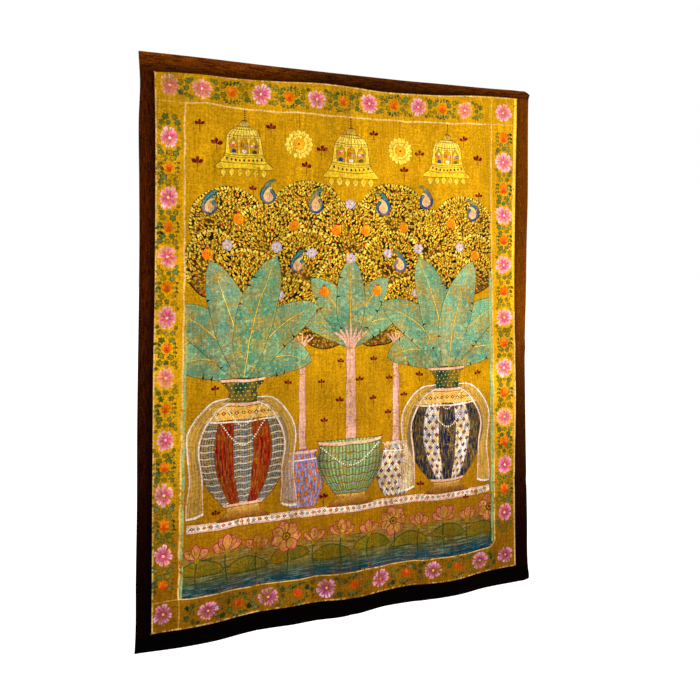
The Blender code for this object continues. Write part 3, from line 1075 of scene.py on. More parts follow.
def sash(middle, side, reach):
    """A thin scarf tied round a neck, which falls beside the vessel, with pale edges."""
    outer = np.array([0.038 - 0.893j, 0.090 - 0.905j, reach - 0.980j, reach - 0.006 - 1.080j,
                      reach + 0.004 - 1.198j])
    inner = np.array([0.036 - 0.906j, 0.074 - 0.930j, reach - 0.030 - 1.000j, reach - 0.036 - 1.090j,
                      reach - 0.040 - 1.190j])
    outer, inner = (smooth(middle + side * line.real + 1j * line.imag, 4) for line in (outer, inner))
    shape = np.concatenate([outer, inner[::-1]])
    take(shape)
    paint(shape, SASH, cover=0.55, wear=0.25)
    for share in (0.25, 0.5, 0.75):
        paint(ribbon(outer * share + inner * (1 - share), 0.0014, 0.8), BROWN, cover=0.45)
    for line in (outer, inner):
        outlined(ribbon(line, 0.0046, 0.6), BROWN, 0.0008, WHITE, BLUSH, start=-0.9j, end=-1.2j, wear=0.2)
    outlined(ribbon([outer[-1], (outer[-1] + inner[-1]) / 2 - 0.004j, inner[-1]], 0.0064, 0.9), BROWN, 0.0008,
             WHITE, wear=0.2)


def urn(middle, first, first_kind, second, second_kind, reaches):
    """A tall vessel: gores in two patterns in turn, a bottle green neck and cream bands."""
    whole = turned(URN, middle)
    take(whole)
    take(turned(FOOT, middle))
    vessel_foot(middle)
    body = outlined(whole, BROWN, 0.0018, first)
    for number, (low, high) in enumerate(zip(GORES, GORES[1:])):
        colour, kind = (first, first_kind) if number % 2 == 0 else (second, second_kind)
        local = on_body(URN, middle, GILT.get(colour, 0.0))
        paint(gore(URN, middle, low, high), colour, within=body, wear=0.12, kind=kind, local=local)
    stripes_down(URN, middle, GORES[1:-1], 0.0016, body)
    shaded(URN, middle, body)
    neck = paint(box(middle, 0.08, 0.842, 0.905), BOTTLE, within=body)
    for place in scattered(middle - 0.05 - 0.902j, middle + 0.052 - 0.856j, 0.0125, 0.0105):
        paint(circle(place, 0.0017, sides=5), YELLOW, within=neck)
    shoulder = paint(box(middle, 0.14, 0.912, 0.950), PEACH, within=body)
    for k in range(-5, 6):
        lozenge(middle + 0.0175 * k - 0.933j, 0.0066, RED if k % 2 else BOTTLE, CREAM, shoulder)
    for z, width, colour in ((-0.845, 0.0070, BLUSH), (-0.907, 0.0065, BLUSH), (-0.912, 0.0018, BROWN),
                             (-0.951, 0.0040, WHITE), (-0.955, 0.0015, BROWN), (-1.176, 0.0075, BLUSH)):
        band_across(URN, middle, z, width, colour, body)
    for depth, reach in ((0.052, 0.050), (0.105, 0.088)):
        garland(middle, reach, 0.915, 0.915 + depth)
    for side, reach in zip((-1, 1), reaches):
        sash(middle, side, reach)


def bowl(middle):
    """The wide planter in the middle: light green with brown waves."""
    whole = turned(BOWL, middle)
    take(whole)
    vessel_foot(middle, 0.95)
    body = outlined(whole, BROWN, 0.0018, MINT, GREEN, start=middle - 1.03j, end=middle - 1.30j,
                    kind="pleats", local=on_body(BOWL, middle), wear=0.15)
    half = max(x for _, x in BOWL)
    for z in np.arange(-1.062, -1.18, -0.021):
        across = np.linspace(-half, half, 21)
        line = sagging(middle, across, half, z) + 0.0026j * np.sin(2 * np.pi * across / 0.029)
        paint(ribbon(line, 0.0024, 0.9), BROWN, wear=0.2, within=body)
        paint(ribbon(line - 0.0034j, 0.0014, 0.9), LILAC, wear=0.3, within=body)
    shaded(BOWL, middle, body)
    band_across(BOWL, middle, -1.036, 0.0085, BLUSH, body)
    band_across(BOWL, middle, -1.043, 0.0016, BROWN, body)
    garland(middle, 0.088, 1.048, 1.105)


def pot(middle, colour, kind):
    whole = turned(POT, middle)
    take(whole)
    body = outlined(whole, BROWN, 0.0015, colour, kind=kind, local=on_body(POT, middle))
    shaded(POT, middle, body)
    band_across(POT, middle, -1.055, 0.0072, BLUSH, body)
    band_across(POT, middle, -1.076, 0.0036, WHITE, body)


def slim_tree(middle, foot, top, half, fingers):
    """A pale pink trunk that parts into fingers under the crown."""
    trunk = [(top, half * 0.8), ((top + foot) / 2, half * 0.92), (foot, half)]
    for k in range(fingers):
        lean = (k - (fingers - 1) / 2) / fingers
        line = smooth([middle + 1j * (top - 0.012), middle + lean * half * 3 + 1j * (top + half * 1.6),
                       middle + lean * half * 7.5 + 1j * (top + half * (4.4 - 3 * abs(lean)))], 3)
        outlined(ribbon(line, half * 0.55, 0.5), BROWN, 0.0009, BLUSH)
    shape = turned(trunk, middle)
    take(shape)
    body = outlined(shape, BROWN, 0.0012, BLUSH, ROSY_BROWN, start=middle - half + 0j,
                    end=middle + half * 2.0 + 0j, wear=0.2)
    for z in np.arange(top - 0.03, foot, -0.040):
        band_across(trunk, middle, z, 0.0013, MAUVE, body, wear=0.25)


def plinth():
    """A low white step under the vessels, with lozenges and a pale pink line at each edge."""
    top, low = STEP_TOP, STEP_FOOT
    left, right = STEP_ENDS
    shape = np.array([left + 1j * low, right + 1j * low, right + 1j * top, left + 1j * top])
    take(shape)
    body = outlined(shape, BROWN, 0.0015, WHITE, wear=0.30)
    for number, x in enumerate(np.arange(left + 0.012, right, 0.0165)):
        lozenge(x + 1j * (top + low) / 2, 0.0060, (WINE, SLATE, RUST)[number % 3], YELLOW, body)
    for z in (top - 0.0025, low + 0.0025):
        line = np.linspace(left, right, 9) + 1j * z
        paint(ribbon(line, 0.0048, 0.95), BLUSH, wear=0.2, within=body)


# The field: the frieze along its foot


def floating_leaf(middle, wide, tall, lean, within):
    """A floating leaf seen from the side, pointed at both ends and raised in the middle, with veins."""
    along = toward(lean) * wide
    shape = leaf(middle - along, middle + along, 2 * tall, 0.10, random.uniform(0.42, 0.58), 11, 0.62)
    take(shape)
    body = outlined(shape, DARK_GREEN, 0.0030, varied(PAD_GOLD, 8), varied(PAD_GREEN, 8),
                    start=middle - along, end=middle + along * 1.6, wear=0.30, within=within)
    foot = middle - 0.35j * tall
    for share in (-0.82, -0.60, -0.34, -0.08, 0.18, 0.42, 0.66, 0.86):
        rim = middle + share * along + 1j * (0.2 * wide * (1 - share**2) + tall * 0.75 * (1 - share**4))
        vein = [foot, foot * 0.45 + rim * 0.55 + 0.0014j, rim]
        paint(ribbon(vein, 0.0017), DARK_GREEN, cover=0.75, within=body)
    lip = [middle - along, middle - 0.4 * along - 0.30j * tall,
           middle + 0.4 * along - 0.30j * tall, middle + along]
    paint(ribbon(smooth(lip, 3), 0.0018), DARK_GREEN, cover=0.8, within=body)


def stem(foot, top, bow, within):
    paint(ribbon(midrib(foot, top, bow, 4), 0.0036, 0.8), DARK_GREEN, wear=0.12, within=within)


def lit_petal(base, tip, width, bend, within):
    """A petal of gold that turns crimson at its tip, with a crimson line round it and two veins."""
    shape = leaf(base, tip, width, bend, 0.60, 7, 0.85)
    take(shape)
    body = outlined(shape, CRIMSON, 0.0026, varied(PETAL_GOLD, 7), PETAL_ROSE, wear=0.38, within=within,
                    start=base + 0.50 * (tip - base), end=base + 1.15 * (tip - base))
    for lean in (-0.12, 0.12):
        vein = base + (tip - base) * np.array([0.25, 0.55 + lean * 1j, 0.80 + lean * 0.7j])
        paint(ribbon(vein, 0.0011), CRIMSON, cover=0.6, within=body)


def palmette(foot, size, petals, within):
    """A half open flower, of a fan of petals."""
    span = (petals - 1) / 2
    for k in sorted(np.arange(petals) - span, key=lambda k: -abs(k)):
        tip = foot + size * toward(90 - 150 / petals * k + random.uniform(-4, 4)) * (1 - 0.05 * abs(k))
        lit_petal(foot, tip, size * 0.50, 0.08 * np.sign(k), within)
    outlined(circle(foot, size * 0.17, sides=8), BROWN, 0.0008, OLIVE, within=within)


def wheel_flower(middle, size, within):
    """An open flower seen face on, with a brown eye."""
    for k in range(7):
        step = toward(360 / 7 * k + random.uniform(-5, 5))
        lit_petal(middle + step * size * 0.1, middle + step * size, size * 0.66, 0.0, within)
    outlined(circle(middle, size * 0.26, 8, 0.08, 16), BLACK, 0.0010, BROWN, within=within)
    for k in range(8):
        paint(circle(middle + toward(45 * k) * size * 0.15, 0.0016, sides=5), YELLOW, within=within)


def water_edge():
    """The waving upper edge of the water, from right to left."""
    x = np.linspace(0.452, -0.474, 65)
    return x + 1j * (-1.300 + 0.006 * np.abs(np.sin(np.pi * (x + 0.02) / 0.078)) + 0.003 * np.sin(17 * x))


def frieze(field):
    """Water with floating leaves, and in front of it half open and open flowers in turn."""
    low = smooth(LOW_LINE, 4)
    shape = np.concatenate([low[:-3] + 0.0012j, water_edge()])
    take(shape)
    paint(shape, SHALLOW, DEEP, -1.335j, -1.392j, cover=(0.55, 1.0), wear=0.14, within=field, kind="water")
    for k in range(8):
        x = -0.424 + 0.1190 * k
        floating_leaf(x + 1j * (-1.352 if k % 2 else -1.340), 0.056, 0.0190, random.uniform(-3, 8), field)
    for k in range(12):
        x = -0.436 + 0.0795 * k
        kind = k % 4
        if kind == 1:
            stem(x - 1.385j, x - 1.272j, 0.06, field)
            palmette(x - 1.298j, 0.048, 5, field)
        elif kind == 3:
            stem(x - 1.385j, x - 1.290j, -0.05, field)
            wheel_flower(x - 1.282j, 0.042, field)
        else:
            stem(x - 1.380j, x - 1.310j, 0.08, field)
            palmette(x - 1.308j, 0.042, 3, field)


# The field: scattered sprigs


def sprig(place, size, wear):
    """The small dark red plant that is scattered over the ground: a bud between two low leaves."""
    colour = varied(OXBLOOD, 5)
    foot = place - 1.30j * size
    paint(np.array([foot - 0.0008, foot + 0.0008, place + 0.0009, place - 0.0009]), colour, wear=wear + 0.1)
    for angle, reach, width in ((31, 0.90, 0.56), (149, 0.90, 0.56), (90, 0.86, 0.48)):
        step = toward(angle + random.uniform(-6, 6))
        side = np.sign(90 - angle)
        shape = leaf(place, place + step * size * reach, size * width, -0.10 * side, 0.60, 6, 0.8)
        paint(shape, colour, wear=wear)


def sprigs():
    for place in scattered(-0.435 - 1.262j, 0.430 - 0.165j, 0.098, 0.0540):
        place += random.normal(0, 0.003) + 1j * random.normal(0, 0.003)
        if is_free(place) and is_free(place - 0.010j) and is_free(place + 0.010j):
            size = 0.0180 if place.imag > -0.30 else 0.0138
            sprig(place, size * random.uniform(0.92, 1.10), random.uniform(0.0, 0.05))


def draw_all(outline):
    """The whole painting, on a ground that reaches the panel's edges."""
    paint(outline, GOLD, DULL_GOLD, DULL_FROM, DULL_TO, wear=0.0, hand=False)
    # Painted light: lighter gold over the ground, strongest between 0.50 and 0.95 down; the field covers it,
    # so it shows on the border's side bands
    for first, last, shares in ((-0.20, -0.50, (0.02, 0.50)), (-1.25, -0.95, (0.50, 0.98))):
        down = np.linspace(*shares, 10)
        half = np.concatenate([seam_line(0.004, down), seam_line(0.996, down[::-1])])
        paint(half, PAINTED_LIGHT_GOLD, cover=(0.0, 1.0), start=1j * first, end=1j * last, wear=0.0, hand=False)
    inside = np.concatenate([smooth(LEFT_LINE, 6), smooth(LOW_LINE, 6)[1:],
                             smooth(RIGHT_LINE, 6)[::-1][1:], smooth(TOP_LINE, 6)[::-1][1:-1]])
    field = paint(inside, GOLD, DULL_GOLD, DULL_FROM, DULL_TO, wear=0.0)
    frieze(field)
    crown_of_leaves(field)
    fan(DESIGN_MIDDLE - 0.770j, (0.155, 0.225, 0.250, 0.225, 0.155), 124, 0.084, field)
    slim_tree(DESIGN_MIDDLE, -1.036, -0.775, 0.0155, 7)
    for place in POTS:
        slim_tree(place, -1.060, -0.770, 0.0100, 5)
    crown_fruits()
    reaches = (0.200, 0.290, 0.335, 0.350, 0.290, 0.195)
    for place, turned_reaches in zip(URNS, (reaches, reaches[::-1])):
        fan(place + 1j * URN_FAN_FOOT, turned_reaches, 152, 0.102, field)
    plinth()
    pot(POTS[0], LILAC, "small_leaves")
    pot(POTS[1], WHITE, "florets")
    bowl(DESIGN_MIDDLE)
    urn(URNS[0], SLATE, "checks", RED, "pleats", (0.146, 0.142))
    urn(URNS[1], NAVY, "pleats", WHITE, "florets", (0.142, 0.146))
    bells()
    sprigs()
    frame_lines()
    border()


# From the painting to a mesh


def in_light(colour):
    """From the usual scale to the linear one that a shader takes."""
    return np.where(colour <= 0.04045, colour / 12.92, ((colour + 0.055) / 1.055) ** 2.4)


def crease_lines_cut():
    """Places along each crease inside the panel, and the pairs of them that are next to each other."""
    places, cuts = [], []
    for crease in CREASES:
        if crease.runs == "down":
            heights = np.linspace(*CUT_DOWN)
            line = crease.start + (crease.end - crease.start) * -heights / HANGING_HEIGHT + 1j * heights
        else:
            across = np.linspace(*CUT_ACROSS)
            line = across - 1j * (crease.start + (crease.end - crease.start) * (across / HANGING_WIDTH + 0.5))
        cuts += [(len(places) + k, len(places) + k + 1) for k in range(len(line) - 1)]
        places += list(line)
    return np.array(places), np.array(cuts)


def triangulate(outlines, inner_places):
    """Cuts outlines that lie over each other into triangles, and says which outlines hold each.

    The creases are cut lines too, so that both sides of the sheet bend in the same places.
    """
    faces, first = [], 0
    for outline in outlines:
        faces.append(list(range(first, first + len(outline))))
        first += len(outline)
    creases, cuts = crease_lines_cut()
    places = np.concatenate([*outlines, creases, inner_places])
    points = [Vector((place.real, place.imag)) for place in places]
    result = delaunay_2d_cdt(points, (cuts + first).tolist(), faces, 1, CUT_TOLERANCE)
    places = np.array([complex(*point) for point in result[0]])
    return places, np.array(result[2]), result[5]


def lay_paint(layers, places, triangles, holders):
    """Colour, wear and place in a pattern at each triangle's corners, and each triangle's kind."""
    corners = places[triangles]
    owner = np.repeat(np.arange(len(triangles)), [len(held) for held in holders])
    layer = np.concatenate([np.asarray(held) for held in holders])
    order = np.argsort(layer, kind="stable")
    owner = owner[order]
    first = np.searchsorted(layer[order], np.arange(len(layers) + 1))
    colour = np.zeros((len(triangles), 3, 4))
    local = np.zeros((len(triangles), 3, 3))
    kind = np.zeros(len(triangles), int)
    clips = {mark.within for mark in layers}
    kept = {}
    for number, mark in enumerate(layers):
        own = owner[first[number] : first[number + 1]]
        if mark.within is not None:
            own = own[np.isin(own, kept[mark.within])]
        if number in clips:
            kept[number] = own
        if len(own) == 0:
            continue
        away, reach = corners[own] - mark.start, mark.end - mark.start
        share = np.abs(away / reach) if mark.spread == "round" else (away / reach).real
        share = np.clip(share, 0, 1)[..., None]
        near, far = (np.append(np.array(shade) / 255, mark.wear) for shade in (mark.near, mark.far))
        cover = np.clip(mark.cover[0] + (mark.cover[1] - mark.cover[0]) * share, 0, 1)
        colour[own] += (near + (far - near) * share - colour[own]) * cover
        if mark.cover[0] > 0.5:
            kind[own] = KINDS.index(mark.kind)
            if mark.local is not None:
                local[own] = mark.local(corners[own])
    colour[:, :, :3] = in_light(np.clip(colour[:, :, :3], 0, 1))
    return colour, local, kind


def panel_outline():
    """The panel's cut edge, drawn back a little from the seams."""
    sides = ("left_seam", "right_seam"), ("top_seam", "bottom_seam")
    wide, tall = round(HANGING_WIDTH / EDGE_STEP), round(HANGING_HEIGHT / EDGE_STEP)
    x, z = np.linspace(0, 1, wide + 1)[:-1], np.linspace(0, 1, tall + 1)[:-1]
    outline = np.concatenate([
        on_sheet(x, 1 + 0 * x, *sides),
        on_sheet(1 + 0 * z, 1 - z, *sides),
        on_sheet(1 - x, 0 * x, *sides),
        on_sheet(0 * z, z, *sides),
    ])
    return grow(outline, -SEAM_GAP / 2)


def grid_inside(outline, step):
    """Places in rows inside an outline, clear of it."""
    x = np.arange(outline.real.min(), outline.real.max(), step)
    z = np.arange(outline.imag.min(), outline.imag.max(), step)
    places = (x[None, :] + 1j * z[:, None]).ravel()
    rim = -step * 0.45
    inner = grow(outline, rim)
    return places[[covers(inner, place) for place in places]]


def new_object(name, mesh, *finishes):
    for finish in finishes:
        mesh.materials.append(finish)
    piece = bpy.data.objects.new(name, mesh)
    bpy.context.scene.collection.objects.link(piece)
    return piece


def numbers_of(outline, places):
    """Which of the places lies at each point of an outline."""
    return np.array([np.argmin(np.abs(places - place)) for place in outline])


def rim_between(front_edge, back_edge):
    """The cut edge, which joins both sides with two triangles a step."""
    ahead = np.roll(np.arange(len(front_edge)), -1)
    return np.concatenate([
        np.stack([front_edge, back_edge, front_edge[ahead]], axis=1),
        np.stack([front_edge[ahead], back_edge, back_edge[ahead]], axis=1),
    ])


def flat_map(front, back):
    """One flat map: the face fills most of it, and the back lies beside it, smaller."""
    flat = np.concatenate([front, back])
    low = flat.real.min() + 1j * flat.imag.min()
    flat = (flat - low) / (flat.imag.max() - flat.imag.min()) * MAP_FILL
    spot = np.stack([flat.real, flat.imag], axis=1) + MAP_MARGIN
    spot[len(front) :] = spot[len(front) :] * BACK_MAP_SIZE + BACK_MAP_PLACE
    return spot


def painted_cloth(finishes):
    """The panel: the painted face, the bare back and the cut edge that joins them."""
    outline = panel_outline()
    draw_all(outline)
    outlines = [mark.outline for mark in marks]
    front, front_triangles, holders = triangulate(outlines, grid_inside(outline, FRONT_STEP))
    front_colour, front_local, front_kind = lay_paint(marks, front, front_triangles, holders)
    back, back_triangles, _ = triangulate([outline], grid_inside(outline, BACK_STEP))
    rim = rim_between(numbers_of(outline, front), numbers_of(outline, back) + len(front))

    half = PANEL_THICKNESS / 2
    vertices = np.concatenate([on_folds(front, half), on_folds(back, -half)])
    triangles = np.concatenate([front_triangles, back_triangles[:, ::-1] + len(front), rim])
    normals = np.concatenate([facing(front), -facing(back)])
    kind = np.concatenate([front_kind, np.full(len(back_triangles) + len(rim), KINDS.index("bare"))])
    bare = in_light(np.array(GOLD) / 255)
    colour = np.ones((len(triangles), 3, 4)) * np.append(bare, 0.5)
    colour[: len(front_triangles)] = front_colour
    local = np.zeros((len(triangles), 3, 3))
    local[: len(front_triangles)] = front_local

    mesh = bpy.data.meshes.new("painted_cloth")
    mesh.from_pydata(vertices, [], triangles)
    mesh.polygons.foreach_set("material_index", kind.astype(np.int32))
    shades = mesh.color_attributes.new("Paint", "FLOAT_COLOR", "CORNER")
    shades.data.foreach_set("color", colour.astype(np.float32).ravel())
    held = mesh.attributes.new("Local", "FLOAT_VECTOR", "CORNER")
    held.data.foreach_set("vector", local.astype(np.float32).ravel())
    mesh.shade_smooth()
    mesh.normals_split_custom_set_from_vertices(normals)
    layer = mesh.uv_layers.new(name="OFBake")
    spot = flat_map(front, back)[triangles.ravel()]
    layer.uv.foreach_set("vector", spot.astype(np.float32).ravel())
    return new_object("painted_cloth", mesh, *finishes)


# The binding: strips of cloth folded round the edge


Strip = namedtuple("Strip", "name node sides ends runs width crown shades hollow tones")
# Painted light and shade on a strip: a factor on its colour that runs from first to last between two places
# along it
Tone = namedtuple("Tone", "runs low high first last")    # how light the cloth is, between two places
STRIPS = [
    Strip("top_strip", "binding_top", ("left_edge", "right_edge"), ("top_edge", "top_seam"),
          "across", 0.034, TOP_BINDING_CROWN, ((68, 22, 1), (124, 58, 3)), (0.35, 0.42),
          (Tone("across", -0.30, -0.05, 1.0, 0.42), Tone("across", 0.22, 0.54, 1.0, 1.9))),
    Strip("bottom_strip", "binding_bottom", ("left_edge", "right_edge"), ("bottom_edge", "bottom_seam"),
          "across", 0.046, BOTTOM_BINDING_CROWN, ((68, 21, 1), (124, 56, 3)), (0.35, 0.42),
          (Tone("across", -0.60, 0.60, 0.02, 0.04),)),
    Strip("left_strip", "binding_left", ("left_edge", "left_seam"), ("top_seam", "bottom_seam"),
          "down", 0.036, SIDE_BINDING_CROWN, ((68, 18, 1), (124, 49, 2)), (0.35, 0.42),
          (Tone("down", -0.60, -0.10, 0.56, 0.44),)),
    Strip("right_strip", "binding_right", ("right_edge", "right_seam"), ("top_seam", "bottom_seam"),
          "down", 0.038, SIDE_BINDING_CROWN, ((90, 41, 0), (118, 57, 1)), (0.70, 0.60),
          (Tone("down", -0.85, -0.35, 2.2, 0.80), Tone("down", -1.02, -0.62, 0.50, 1.0))),
]


def section(strip, lap):
    """The folded cloth cut across: shares of the way from the fold to the seam, and how far out."""
    thick = BINDING_THICKNESS / 2
    turn = np.radians([90, 62, 35, 10, -10, -35, -62, -90])
    fold = [(thick * (1 - math.cos(a)) / strip.width, thick * math.sin(a)) for a in turn]
    over = 1 + lap / strip.width
    under = PANEL_THICKNESS / 2 + LAP_CLEARANCE
    outer = np.linspace(0.12, 0.97, 12)
    face = [(share, thick) for share in outer[::-1]]
    front_lip = [(over, under + PLY * 0.35), (over - 0.4 * PLY / strip.width, under + PLY),
                 (1 + 0.35 * lap / strip.width, under + PLY * 1.05)]
    pocket = [(over - 0.3 * PLY / strip.width, under), (1.0, under), (0.90, thick - PLY),
              (0.5, thick - PLY), (0.15, thick - PLY), (0.07, (thick - PLY) * 0.8), (0.055, 0.0)]
    front = front_lip + face
    back = [(share, -out) for share, out in front[::-1]]
    inner = [(share, -out) for share, out in pocket] + [(share, out) for share, out in pocket[-2::-1]]
    return np.array(front + fold + back + inner)


def crown_at(strip, share):
    return strip.crown * bump(share - CROWN_PLACE, CROWN_END - CROWN_PLACE)


def puckers(strip, along, share):
    """Small unevenness of the sewn cloth, mostly beside its seam."""
    near_seam = np.clip(share, 0, 1) ** 2
    wave = np.sin(along * 395 + 2.3 * np.sin(along * 61)) * 0.6 + np.sin(along * 233 + 1)
    slow = np.sin(along * 47 + len(strip.name)) + np.sin(along * 83)
    held = near_seam * np.clip((1 - share) * 12, 0, 1)
    return PUCKER_DEPTH * wave * held + SWELL_DEPTH * slow * bump(share - 0.5, 0.5)


def tube_faces(count, size):
    """Faces that join this many rings of this size into a tube with closed ends."""
    faces = []
    for k in range(count - 1):
        a, b = k * size, (k + 1) * size
        for i in range(size):
            j = (i + 1) % size
            faces.append((a + i, a + j, b + j, b + i))
    faces.append(tuple(range(size))[::-1])
    faces.append(tuple(range((count - 1) * size, count * size)))
    return faces


def binding_strip(strip, finish):
    """A strip: the folded cross section, set at many stations along the edge and joined up."""
    length = HANGING_WIDTH if strip.runs == "across" else HANGING_HEIGHT
    stations = round(length / STRIP_STEP)
    along = np.linspace(0, 1, stations + 1)
    corner = END_CUTS[strip.runs]
    along = np.unique(np.concatenate([along, corner, 1 - np.array(corner)]))
    rings, shares = [], []
    for share in along:
        lap = LAP if min(share, 1 - share) > LAP_BEGINS[strip.runs] else LAP * CORNER_LAP_SHARE
        ring = section(strip, lap)
        across, out = ring[:, 0], ring[:, 1]
        if strip.runs == "across":
            place = on_sheet(share + 0 * across, across, strip.sides, strip.ends)
        else:
            end_gap = SEAM_GAP / HANGING_HEIGHT
            down = end_gap + (1 - 2 * end_gap) * (share + 0 * across)
            place = on_sheet(across, down, strip.sides, strip.ends)
        raised = crown_at(strip, across) + puckers(strip, share * length, across)
        rings.append(on_folds(place, out + raised))
        shares.append(across)
    vertices = np.concatenate(rings)
    mesh = bpy.data.meshes.new(strip.name)
    mesh.from_pydata(vertices.tolist(), [], tube_faces(len(rings), len(rings[0])))
    mesh.update()
    mesh.attributes.new("Share", "FLOAT", "POINT").data.foreach_set("value", np.concatenate(shares))
    turn_outward(mesh)
    mesh.shade_smooth()
    mesh.set_sharp_from_angle(angle=math.radians(SHARP_FROM))
    return new_object(strip.name, mesh, finish)


def turn_outward(mesh):
    """Turns a closed mesh inside out if it encloses a negative volume."""
    total = 0.0
    for polygon in mesh.polygons:
        points = [mesh.vertices[i].co for i in polygon.vertices]
        for k in range(1, len(points) - 1):
            total += points[0].dot(points[k].cross(points[k + 1]))
    if total < 0:
        mesh.flip_normals()


# Finishes


class Value:
    """A number or colour that a finish's nodes work out. Sums with it add nodes to the finish."""

    def __init__(self, finish, socket):
        self.finish = finish
        self.socket = socket

    def also(self, output):
        """Another output of the same node."""
        return Value(self.finish, self.socket.node.outputs[output])

    def __add__(self, other):
        return self.finish.calc("ADD", self, other)

    def __sub__(self, other):
        return self.finish.calc("SUBTRACT", self, other)

    def __mul__(self, other):
        return self.finish.calc("MULTIPLY", self, other)

    def __truediv__(self, other):
        return self.finish.calc("DIVIDE", self, other)

    def __abs__(self):
        return self.finish.calc("ABSOLUTE", self)


class Finish:
    """A material, with its nodes added one by one."""

    def __init__(self, name, roughness, **sockets):
        self.material = bpy.data.materials.new(name)
        self.material.use_nodes = True
        self.tree = self.material.node_tree
        self.shader = self.tree.nodes["Principled BSDF"]
        self.shader.inputs["Roughness"].default_value = roughness
        for socket, value in sockets.items():
            self.shader.inputs[socket.replace("_", " ")].default_value = value
        self.place = self.add("ShaderNodeTexCoord", {}, "Object")
        self.across, _, self.height = self.parts(self.place)

    def put(self, value, socket):
        """Links a value to a socket, or sets the socket to a plain number."""
        if isinstance(value, Value):
            self.tree.links.new(value.socket, socket)
        else:
            socket.default_value = value

    def add(self, kind, inputs, output=0, **settings):
        node = self.tree.nodes.new(kind)
        for setting, value in settings.items():
            setattr(node, setting, value)
        for socket, value in inputs.items():
            self.put(value, node.inputs[socket])
        return Value(self, node.outputs[output])

    def calc(self, operation, a, b=0.5, c=0.5):
        return self.add("ShaderNodeMath", {0: a, 1: b, 2: c}, operation=operation)

    def vector(self, operation, a, b=(0.0, 0.0, 0.0), c=(0.0, 0.0, 0.0), output=0):
        return self.add("ShaderNodeVectorMath", {0: a, 1: b, 2: c}, output, operation=operation)

    def parts(self, vector):
        """The three numbers of a vector."""
        first = self.add("ShaderNodeSeparateXYZ", {0: vector})
        return [first.also(k) for k in range(3)]

    def held(self, name, output):
        """A value that the mesh holds under a name."""
        return self.add("ShaderNodeAttribute", {}, output, attribute_name=name)

    def noise(self, across, down, detail=2.0):
        """Noise with features of these sizes, in metres."""
        scaled = self.vector("MULTIPLY", self.place, (1 / across, 2 / (across + down), 1 / down))
        return self.add("ShaderNodeTexNoise", {"Vector": scaled, "Scale": 1.0, "Detail": detail}, "Fac")

    def cells(self, place, size, output):
        """Uneven cells of this size, in metres."""
        inputs = {"Vector": place, "Scale": 1 / size, "Randomness": 0.9}
        return self.add("ShaderNodeTexVoronoi", inputs, output, voronoi_dimensions="2D")

    def between(self, value, low, high, first=0.0, last=1.0):
        """Brings a value's range from low to high onto first to last, with soft ends."""
        inputs = {0: value, 1: low, 2: high, 3: first, 4: last}
        return self.add("ShaderNodeMapRange", inputs, interpolation_type="SMOOTHSTEP")

    def under(self, value, low, high):
        """1 where a value is under low, and 0 over high."""
        return self.between(value, low, high, 1.0, 0.0)

    def mix(self, share, a, b, blend="MIX"):
        """Colour a with a share of colour b over it."""
        a, b = (x if isinstance(x, Value) else (*linear(x), 1.0) for x in (a, b))
        return self.add("ShaderNodeMix", {0: share, 6: a, 7: b}, 2, data_type="RGBA", blend_type=blend)

    def dimmed(self, colour, value, low, high, first, last):
        """A colour made darker or lighter by these factors as a value runs from low to high."""
        factor = self.between(value, low, high, first, last)
        grey = self.add("ShaderNodeCombineColor", {0: factor, 1: factor, 2: factor})
        return self.mix(1.0, colour, grey, "MULTIPLY")

    def finish(self, colour, height, depth):
        """Links the colour and a relief of this depth to the shader."""
        self.put(colour, self.shader.inputs["Base Color"])
        relief = self.add("ShaderNodeBump", {"Height": height, "Distance": depth, "Strength": 1.0})
        self.put(relief, self.shader.inputs["Normal"])
        return self.material


def linear(colour):
    return tuple(float(part) for part in in_light(np.array(colour) / 255.0))


def threads(finish):
    """Uneven hand spun threads, fine and coarse, both ways: 0 to 1, mostly near a half."""
    weft = finish.noise(0.034, 0.0012) + finish.noise(0.060, 0.0030, 3.0)
    warp = finish.noise(0.0012, 0.022) + finish.noise(0.0042, 0.070, 3.0)
    return warp * WARP_SHARE + weft * WEFT_SHARE


def crease_lines(finish):
    """1 on the lines of the folding creases, in broken stretches."""
    total = 0.0
    for crease in CREASES:
        if crease.runs == "down":
            slope = (crease.end - crease.start) / HANGING_HEIGHT
            away = abs(finish.across - (finish.height * -slope + crease.start))
        else:
            slope = (crease.end - crease.start) / HANGING_WIDTH
            away = abs(finish.height - (finish.across * -slope - (crease.start + crease.end) / 2))
        total = finish.calc("MAXIMUM", finish.under(away, 0.0008, 0.0045), total)
    return total * finish.between(finish.noise(0.02, 0.02, 3.0), 0.40, 0.68)


def wrinkles(finish):
    """1 on fine wandering lines, where the painted cloth has been crumpled, in some areas only."""
    total = 0.0
    for across, down, width in ((0.030, 0.042, 0.018), (0.013, 0.019, 0.040)):
        wander = abs(finish.noise(across, down) - 0.5)
        total = finish.calc("MAXIMUM", finish.under(wander, 0.0, width), total)
    return total * finish.between(finish.noise(0.10, 0.11, 3.0), 0.42, 0.56)


def aged(finish, colour, woven):
    """Thread lines, cloudy patches, smudges, painted shade in the wrinkles and a darker brown along the
    creases, over a colour.
    """
    colour = finish.dimmed(colour, woven, 0.40, 0.60, 0.85, 1.15)
    for cloud in CLOUDS:
        value = finish.noise(cloud.across, cloud.down, cloud.detail)
        colour = finish.dimmed(colour, value, cloud.low, cloud.high, cloud.first, cloud.last)
    # Painted shade in the wrinkles, then a darker brown along the crease lines
    colour = finish.dimmed(colour, wrinkles(finish), 0.0, 1.0, 1.0, WRINKLE_SHADE)
    return finish.mix(crease_lines(finish) * CREASE_DARK_SHARE, colour, CREASE_DARK_BROWN)


def lines(finish, value, pitch, width):
    """1 on lines of this width, a pitch apart in the value."""
    away = finish.calc("PINGPONG", value, pitch / 2)
    return finish.under(away, width * 0.35, width * 0.65)


